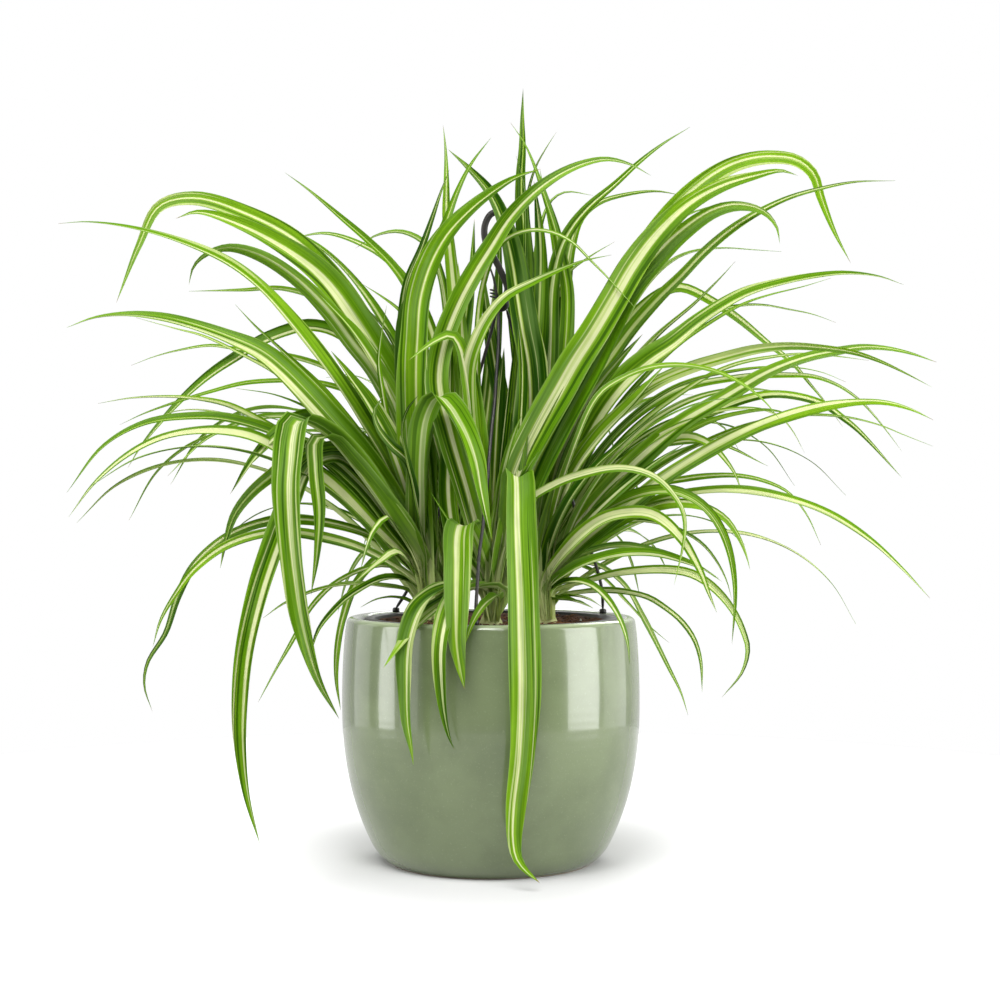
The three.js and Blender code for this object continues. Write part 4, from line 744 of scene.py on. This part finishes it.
def leaf_surface(route, width, taper, turn_root, turn_tip, wave):
    """One folded leaf: places, faces, the share across and along and which face, the same in
    millimetres with a number of its own, and half its width."""
    out = route[-1] - route[0]
    level = np.array([-out[1], out[0], 0]) / math.hypot(out[0], out[1])
    length = np.linalg.norm(np.diff(route, axis=0), axis=1).sum()
    count = int(np.clip(length / LEAF_STEP, *LEAF_STEPS))
    line = smooth_run(route, count)
    ahead = unit(np.gradient(line, axis=0))
    s = np.linspace(0, 1, count + 1)
    side = unit(level - ahead * (ahead @ level)[:, None])
    shown = unit(np.cross(ahead, line - [EYE_X, -EYE_DISTANCE, EYE_Z]))
    away = np.unwrap(np.arctan2(np.sum(np.cross(side, shown) * ahead, axis=1), np.sum(side * shown, axis=1)))
    share = (turn_root + (turn_tip - turn_root) * s + TWIST * np.sin(s * 9 + wave * 40)) / 90
    share += FACING * (1 - share) * np.clip((share - FACING_FROM) / FACING_OVER, 0, 1)
    turn = np.where(share > 0, share * away, -share * (away + np.pi))
    side = side * np.cos(turn)[:, None] + np.cross(ahead, side) * np.sin(turn)[:, None]
    up = np.cross(ahead, side)
    half = width / 2 * np.minimum(1, ROOT_WIDTH + WIDENING * s) * (1 - s ** taper)
    half = (half * (1 + WAVER * np.sin(s * 23 + wave * 60)))[:, None]
    rise = np.radians(FOLD_TIP + FOLD_ROOT * (1 - s) ** 2)[:, None]
    u = np.linspace(-1, 1, ACROSS + 1)[None, :]
    dip = (np.sqrt(u ** 2 + KEEL_ROUND) - KEEL_LOW) / (math.sqrt(1 + KEEL_ROUND) - KEEL_LOW)
    ruffle = RUFFLE * np.sin(s[:, None] * 31 + wave * 90 + u * 1.3) * u ** 2
    x = half * u * np.cos(rise)
    z = half * (dip * np.sin(rise) - BELLY * np.sin(np.pi * np.abs(u)) + ruffle)
    thick = LEAF_THICK * 0.5 * (1 - 0.75 * u ** 4) * (0.35 + 0.65 * np.minimum(1, half / 4))
    skins = [line[:, None] + side[:, None] * x[..., None] + up[:, None] * (z + way * thick)[..., None]
             for way in (1, -1)]
    n, m = z.shape
    top, low = np.arange(2 * n * m).reshape(2, n, m)
    strips = [(top[:-1, :-1], top[:-1, 1:], top[1:, 1:], top[1:, :-1]),
              (low[:-1, :-1], low[1:, :-1], low[1:, 1:], low[:-1, 1:]),
              (top[:-1, 0], top[1:, 0], low[1:, 0], low[:-1, 0]),
              (top[1:, -1], top[:-1, -1], low[:-1, -1], low[1:, -1]),
              (top[0, 1:], top[0, :-1], low[0, :-1], low[0, 1:]),
              (top[-1, :-1], top[-1, 1:], low[-1, 1:], low[-1, :-1])]
    faces = np.vstack([np.stack(strip, axis=-1).reshape(-1, 4) for strip in strips])
    across, along, girth = (np.tile(np.broadcast_to(part, (n, m)).ravel(), 2)
                            for part in (u, s[:, None], half))
    spot = np.stack([across, along, np.repeat([0.0, 1.0], n * m)], axis=1)
    true = np.stack([girth * across, along * length, np.full(2 * n * m, wave * 97)], axis=1)
    return np.stack(skins).reshape(-1, 3), faces.tolist(), spot, true, girth


def clasped_bases(x, y):
    """The rosette's foot: leaf bases wrapped round each other, standing in the soil."""
    z = np.linspace(STUB_FOOT, STUB_TOP, STUB_RINGS)
    a = 2 * np.pi * np.arange(STUB_SIDES) / STUB_SIDES
    fold = (a[None, :] * STUB_FOLDS / (2 * np.pi) + (z[:, None] - STUB_FOOT) * 0.012) % 1.0
    r = (STUB_RADIUS * np.interp(z, *STUB_WAIST))[:, None] * (1 - 0.09 * fold ** 2)
    places = np.stack([x + r * np.cos(a), y + r * np.sin(a), np.broadcast_to(z[:, None], r.shape)], axis=-1)
    places = np.vstack([places.reshape(-1, 3), [[x, y, STUB_FOOT]], [[x, y, STUB_TOP + 1.5]]])
    along = np.concatenate([np.repeat((z - STUB_FOOT) / STUB_RUN, STUB_SIDES), [0, 0.15]])
    across = np.concatenate([(fold * 1.6 - 0.8).reshape(-1), [0, 0]])
    spot = np.stack([across, along, np.zeros(len(along))], axis=1)
    faces = closed_faces(STUB_RINGS, STUB_SIDES)
    return places, faces, spot, spot * [4, STUB_RUN, 0], np.full(len(along), STUB_GIRTH)


def crown_leaves(name):
    """Every leaf of a crown: its route and its shape, the seen ones first, then the hidden ones."""
    x, y = CROWNS[name]
    for i, (width, taper, turn_root, turn_tip, depths, seen) in enumerate(LEAVES[name]):
        deep = float(np.clip((depths[0] - y) / 3, -ROOT_DEEP, ROOT_DEEP))
        across = float(np.clip((seen[-2] - x) * ROOT_LEAN, -ROOT_ACROSS, ROOT_ACROSS))
        root = [[x + across, y + deep, STUB_SHOULDER]]
        route = np.vstack([root, placed(seen, [y + deep, *depths])])
        yield route, (width, taper, turn_root, turn_tip), STRIPED[name].get(i)
    draw = draws(SEED + 7 * list(CROWNS).index(name))
    for count, a0, a1, l0, l1, r0, r1 in HIDDEN[name]:
        for i in range(count):
            angle = a0 + (a1 - a0) * (i + next(draw)) / count
            length = l0 + (l1 - l0) * next(draw)
            rise = r0 + (r1 - r0) * next(draw)
            width = HIDDEN_WIDTH + HIDDEN_WIDER * next(draw)
            turns = (-20 + 40 * next(draw), -30 + 60 * next(draw))
            yield arch_route(x, y, angle, length, rise), (width, HIDDEN_TAPER, *turns), None


def crown(name, seed):
    """One crown as a mesh, with its stripes as attributes and a strip of the map for each leaf."""
    draw = np.random.default_rng(seed)
    parts = [(*clasped_bases(*CROWNS[name]), ("cream", 0), 0.5)]
    for route, shape, look in crown_leaves(name):
        pick = float(draw.random())
        look = look or (DRAWN_STRIPES[int(draw.random() * (len(DRAWN_STRIPES) - 0.001))],
                        float(draw.uniform(-0.4, 0.4)))
        parts.append((*leaf_surface(route, *shape, pick), look, pick))
    bands, shades = [], []
    for *_, (kind, off), pick in parts:
        half, margin, tone, cream = STRIPES[kind]
        bands.append((half, off, margin))
        shades.append((tone + (pick - 0.5) * 0.25, cream, pick))
    counts = [len(part[0]) for part in parts]
    spot, true = (np.vstack([part[k] for part in parts]) for k in (2, 3))
    places, faces = gathered([part[:2] for part in parts])
    thing = piece("leaf_crown_" + name, np.clip(places, *(np.array(cad_box) * 1000)), faces)
    for label, rows in (("spot", spot), ("true", true), ("bands", np.repeat(bands, counts, axis=0)),
                        ("shades", np.repeat(shades, counts, axis=0)),
                        ("girth", np.concatenate([part[4] for part in parts]))):
        stamp(thing, label, rows)
    thing.data.set_sharp_from_angle(angle=math.radians(60))
    number = np.repeat(np.arange(len(parts)), counts)
    across = (number + 0.5 + STRIP_HALF * spot[:, 0]) / len(parts)
    along = 0.5 * spot[:, 2] + STRIP_START + STRIP_LENGTH * spot[:, 1] * np.where(number, 1, STRIP_FOOT)
    corners = np.empty(len(thing.data.loops), int)
    thing.data.loops.foreach_get("vertex_index", corners)
    thing.data.uv_layers.new(name="OFBake").data.foreach_set(
        "uv", np.stack([across, along], axis=1)[corners].astype(np.float32).ravel())
    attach(thing, "root")
    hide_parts("crown_" + name)
    return thing


def leaf_finish(thing):
    """Striped living leaf: satin above, duller and greyer below, letting some light through."""
    tree, shader = finish("striped_leaf_" + thing.name, thing)
    parts = {}
    for label in ("spot", "true", "bands", "shades"):
        held = put(tree, "ShaderNodeAttribute", {"attribute_name": label}).outputs["Vector"]
        parts[label] = put(tree, "ShaderNodeSeparateXYZ", None, Vector=held).outputs
    across, along, under = parts["spot"]
    from_keel, from_root, leaf_number = parts["true"]
    stripe, stripe_at, margin = parts["bands"]
    tone, cream, pick = parts["shades"]
    girth = put(tree, "ShaderNodeAttribute", {"attribute_name": "girth"}).outputs["Fac"]
    broad = ease(tree, girth, 1.0, 4.0)

    def lines(fine, long, detail):
        """Noise drawn out along the leaf, with its fineness per millimetre both ways."""
        where = put(tree, "ShaderNodeCombineXYZ", None, X=times(tree, from_keel, fine),
                    Y=times(tree, from_root, long), Z=leaf_number)
        return noise(tree, where.outputs[0], 1.0, detail, 0.55)

    veins, threads, bandings = lines(0.9, 0.008, 2.0), lines(2.2, 0.012, 1.0), lines(0.22, 0.005, 2.0)
    sheens, strands, mottle = lines(0.16, 0.012, 1.0), lines(0.42, 0.0035, 1.0), lines(0.12, 0.05, 3.0)
    veined = ease(tree, veins, 0.50, 0.66, 0, 0.5)
    near_root, near_tip = ease(tree, along, 0.25, 0.0), ease(tree, along, 0.6, 1.0)
    half = times_plus(tree, near_root, 0.30, times(tree, stripe, times_plus(tree, near_tip, -0.5, 1.0)))
    off = maths(tree, "ABSOLUTE", maths(tree, "SUBTRACT", across, stripe_at))
    off = maths(tree, "ADD", off, times_plus(tree, bandings, 0.24, -0.12))
    edge = maths(tree, "SUBTRACT", half, off)
    softness = ease(tree, girth, 0.8, 4.0, 0.16, 0.03)
    pale = ease(tree, maths(tree, "DIVIDE", edge, softness), -1, 1)
    # A leaf's tone sets how bright its green is; the very low tone given to leaves in shade is painted
    # shade.
    bright = maths(tree, "ADD", tone, times_plus(tree, bandings, 1.8, -0.9))
    # The grey-green patches where the sheens noise is high are partly the leaf's own grey-green banding and
    # partly a painted sheen.
    green = coats(tree, LEAF_DEEP, (ease(tree, bright, 0.0, 0.6), LEAF_MID),
                  (ease(tree, bright, 0.5, 1.2), LEAF_BRIGHT),
                  (ease(tree, sheens, 0.45, 0.65, 0, 0.6), LEAF_GREY), (veined, LEAF_BRIGHT),
                  (times(tree, ease(tree, threads, 0.45, 0.75, 0, 0.4), broad), LEAF_DEEP),
                  (ease(tree, strands, 0.33, 0.39, 0.75, 0), LEAF_DEEP),
                  (times(tree, ease(tree, strands, 0.63, 0.67, 0, 0.65), broad), LEAF_PALE))
    white = coats(tree, LEAF_PALE, (cream, LEAF_CREAM), (veined, LEAF_LIME),
                  (ease(tree, strands, 0.36, 0.42, 0.5, 0), LEAF_MID),
                  (times(tree, near_root, 0.4), LEAF_PALE))
    rimmed = times(tree, ease(tree, maths(tree, "ABSOLUTE", across), 0.90, 0.97), margin)
    dried = times(tree, ease(tree, along, 0.985, 1.0), ease(tree, pick, 0.5, 0.6))
    colour = coats(tree, green, (times(tree, ease(tree, edge, -0.14, -0.02), 0.55), LEAF_LIME),
                   (pale, white), (times(tree, rimmed, broad), blend(tree, 0.5, LEAF_LIME, white)),
                   (ease(tree, mottle, 0.3, 0.75, 0, 0.15), LEAF_DEEP),
                   (ease(tree, along, 0.22, 0.0, 0, 0.8), LEAF_BASE), (dried, LEAF_DRY),
                   (times(tree, under, 0.35), LEAF_UNDER))
    normal = relief(tree, 0.3, 0.0003, times(tree, times_plus(tree, threads, 0.3, veins), broad))
    rough = times_plus(tree, under, 0.15, times_plus(tree, veins, 0.15, 0.33))
    feed(tree, shader, Base_Color=colour, Roughness=rough, Normal=normal, Specular_IOR_Level=0.10,
         Specular_Tint=(0.85, 1.0, 0.45))
    glowing = put(tree, "ShaderNodeBsdfTranslucent", None, Color=blend(tree, 0.2, colour, LEAF_LIME),
                  Normal=normal)
    both = put(tree, "ShaderNodeMixShader", None, Fac=0.40, i1=shader.outputs[0], i2=glowing.outputs[0])
    feed(tree, tree.nodes["Material Output"], Surface=both.outputs[0])


for index, name in enumerate(CROWNS):
    leaf_finish(crown(name, LEAF_SEED + index))

# Hanger
# The black plastic hanger clipped to the nursery pot: a hub with a hook, and three thin legs down
# to the rim. It is moulded in one soft plastic, so the legs are bowed by the leaves.
LEG_RADIUS, LEG_SIDES, LEG_STOPS = 1.0, 16, 90
HUB_X, HUB_Z, HUB_RADIUS, HUB_SHAPE = 6, 336, 5, (1, 0.8, 0.9)
HUB_SIDES, HUB_LEVELS = 32, 20
LEGS = {
    "front": ([-1.5, -74], [4.6, 331.9, 4.6, 311, 3.5, 296, 2.3, 277, 0.6, 262, -1.2, 242, -2.3, 225,
                            -4.6, 204, -7, 185, -8, 170, -9.6, 144]),
    "right": ([2, 29], [9.5, 332.7, 13.8, 319, 18.5, 304, 21.5, 291, 28.8, 272, 44, 231, 48.5, 220,
                        52, 209, 56.6, 197, 64.2, 176, 67.4, 162, 67.8, 149]),
    "left": ([4, 10, 16, 22, 43], [3.6, 333.6, 0, 319, -10, 284, -24, 237, -37, 193, -50, 164,
                                   -57.5, 150.5]),
}
HOOK_STEM = [(7, 338), (10, 345), (7, 354), (2, 364), (-3.2, 374), (-3.6, 384), (0.5, 391), (7, 391.5),
             (11, 386), (11, 380)]
HOOK_TONGUE = [(4, 338), (2.9, 345), (1.6, 352), (-0.8, 359)]
HOOK_RADIUS, HOOK_STOPS, TONGUE_RADII, TONGUE_STOPS = 2.0, 120, (1.05, 0.5), 30
BARBS, BARB_RIGHT, BARB_LEFT, BARB_RISE = (340.2, 342.2, 344.2), 3.4, -0.8, 0.8
BARB_RADIUS, BARB_STOPS, BARB_SIDES = 0.6, 6, 10
RIM_CLIP_Z = 146.9
HANGER_GRAIN, HANGER_DUST = 1100, 0.35
CLIP_HEIGHTS, CLIP_RADII = (0, 0.25, 1.2, 2.2, 2.8, 3.0), (1.9, 2.2, 2.2, 2.1, 1.7, 1.1)


def round_bar(line, radii, sides=LEG_SIDES):
    """A bar with rounded ends along a line, as places and faces."""
    line = np.asarray(line, float)
    ahead = unit(np.gradient(line, axis=0))
    side = np.cross(ahead[0], [0.0, 1.0, 0.0])
    a = 2 * np.pi * np.arange(sides) / sides
    places = []
    for at, way, radius in zip(line, ahead, radii):
        side = side - way * (side @ way)
        side = side / np.linalg.norm(side)
        other = np.cross(way, side)
        places.append(at + radius * (np.cos(a)[:, None] * side + np.sin(a)[:, None] * other))
    return np.vstack(places), capped_faces(len(line), sides)


def eased_ends(count, radius, ends=3):
    """Radii that close in at both ends of a bar."""
    radii = np.full(count, float(radius))
    for k, share in enumerate((0.45, 0.8, 0.95)[:ends]):
        radii[k] *= share
        radii[-1 - k] *= share
    return radii


for side, (depths, seen) in LEGS.items():
    route = placed(seen, depths)
    end = route[-1].copy()
    route[-1, 2] = RIM_CLIP_Z + 2.5
    bar = round_bar(smooth_run(route, LEG_STOPS), eased_ends(LEG_STOPS + 1, LEG_RADIUS))
    clip = round_bar([[end[0], end[1], RIM_CLIP_Z + 0.02 + h] for h in CLIP_HEIGHTS], CLIP_RADII)
    leg = piece("hanger_leg_" + side + "_bar", *gathered([bar, clip]))
    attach(leg, "root")
    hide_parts("hanger_leg_" + side)
    plastic_finish(leg, HANGER_GRAIN, HANGER_DUST)

tilts = np.pi * (np.arange(1, HUB_LEVELS) / HUB_LEVELS - 0.5)
levels = [ring(HUB_RADIUS * np.cos(t), HUB_RADIUS * np.sin(t), HUB_SIDES) for t in tilts]
ball = np.vstack([*levels, [[0, 0, -HUB_RADIUS]], [[0, 0, HUB_RADIUS]]])
hub = (ball * HUB_SHAPE + [HUB_X, 0, HUB_Z], closed_faces(len(levels), HUB_SIDES))
stem = round_bar(smooth_run([(x, 0, z) for x, z in HOOK_STEM], HOOK_STOPS),
                 eased_ends(HOOK_STOPS + 1, HOOK_RADIUS))
tongue = round_bar(smooth_run([(x, 0, z) for x, z in HOOK_TONGUE], TONGUE_STOPS),
                   np.linspace(*TONGUE_RADII, TONGUE_STOPS + 1))
barbs = [round_bar(np.linspace([BARB_RIGHT, 0, z], [BARB_LEFT, 0, z + BARB_RISE], BARB_STOPS),
                   eased_ends(BARB_STOPS, BARB_RADIUS, 1), BARB_SIDES) for z in BARBS]
hook = piece("hanger_hook_and_hub", *gathered([hub, stem, tongue, *barbs]))
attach(hook, "root")
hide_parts("hanger_hook")
plastic_finish(hook, HANGER_GRAIN, HANGER_DUST)

# Set
# A white table and a white surround. Tall soft boxes on either side make the pot's reflections,
# and one above, one in front and one behind light the leaves.
# The camera looks level at the pot from a little over a metre, as in the photograph.
TABLE_RADIUS, TABLE_SIDES = 0.62, 96
# Soft boxes in metres and watts: place, height aimed at, width, height, power
BOXES = {
    "left_box": ((-1.15, -0.14, 0.30), 0.20, 0.34, 1.1, 6.5),
    "right_box": ((1.15, -0.35, 0.30), 0.20, 0.64, 1.1, 14.5),
    "left_fill": ((-1.05, -0.55, 0.30), 0.20, 0.34, 1.1, 2),
    "left_back_fill": ((-1.12, 0.50, 0.30), 0.20, 0.5, 1.1, 2.2),
    "right_fill": ((1.12, 0.36, 0.30), 0.20, 0.66, 1.1, 3.9),
    "overhead_box": ((-0.35, -0.85, 1.45), 0.25, 0.9, 0.9, 26),
    "front_box": ((0.45, -1.3, 1.25), 0.25, 1.0, 0.8, 13),
    "back_box": ((0.3, 1.1, 1.1), 0.25, 0.9, 0.9, 14),
}
floor_mesh = bpy.data.meshes.new("white_table")
around = 2 * np.pi * np.arange(TABLE_SIDES) / TABLE_SIDES
floor_mesh.from_pydata([(TABLE_RADIUS * math.cos(a), TABLE_RADIUS * math.sin(a), 0) for a in around], [],
                       [tuple(range(TABLE_SIDES))])
floor = stood("white_table", floor_mesh)
white = bpy.data.materials.new("white_table")
white.use_nodes = True
tree = white.node_tree
shader = feed(tree, tree.nodes["Principled BSDF"], Base_Color=(0.55, 0.55, 0.55), Roughness=0.9,
              Specular_IOR_Level=0.1)
seen = put(tree, "ShaderNodeLightPath").outputs["Is Camera Ray"]
where = put(tree, "ShaderNodeTexCoord").outputs["Object"]
wide = put(tree, "ShaderNodeVectorMath", {"operation": "MULTIPLY"}, i0=where, i1=(1.35, 1, 1)).outputs[0]
away = put(tree, "ShaderNodeVectorMath", {"operation": "LENGTH"}, i0=wide).outputs["Value"]
# Painted shadow: the table glows for the camera only, faintly near the pot's foot and strongly further out,
# so the open table reads white and the floor round the foot is painted darker.
glow_with_painted_shadow = times(tree, seen, ease(tree, away, 0.095, 0.24, 0.03, 0.45))
lit = put(tree, "ShaderNodeEmission", None, Color=(1, 1, 1), Strength=glow_with_painted_shadow)
total = put(tree, "ShaderNodeAddShader", None, i0=shader.outputs[0], i1=lit.outputs[0])
feed(tree, tree.nodes["Material Output"], Surface=total.outputs[0])
floor_mesh.materials.append(white)

world = bpy.data.worlds.new("white_surround")
bpy.context.scene.world = world
world.use_nodes = True
tree = world.node_tree
tree.nodes.clear()
way = put(tree, "ShaderNodeSeparateXYZ", None, Vector=put(tree, "ShaderNodeTexCoord").outputs["Generated"])
backdrop = ease(tree, way.outputs["Y"], 0.5, 0.85, 0.28, 0.75)
seen = put(tree, "ShaderNodeLightPath").outputs["Is Camera Ray"]
surround = put(tree, "ShaderNodeBackground", None, Color=(1, 1, 1),
               Strength=maths(tree, "MAXIMUM", seen, backdrop))
put(tree, "ShaderNodeOutputWorld", None, Surface=surround.outputs[0])

for name, (place, aim, width, height, power) in BOXES.items():
    light = bpy.data.lights.new(name, "AREA")
    light.shape, light.size, light.size_y, light.energy = "RECTANGLE", width, height, power
    lamp = stood(name, light)
    lamp.location = place
    lamp.rotation_euler = (Vector((0, 0, aim)) - Vector(place)).to_track_quat("-Z", "Y").to_euler()

lens = bpy.data.cameras.new("camera")
lens.sensor_width, lens.lens = 36, 67.14
lens.clip_start, lens.clip_end = 0.05, 50
camera = stood("camera", lens)
camera.location = (EYE_X * MM, -EYE_DISTANCE * MM, EYE_Z * MM)
camera.rotation_euler = (math.pi / 2, 0, 0)
bpy.context.scene.camera = camera
bpy.context.scene.view_settings.view_transform = "Standard"
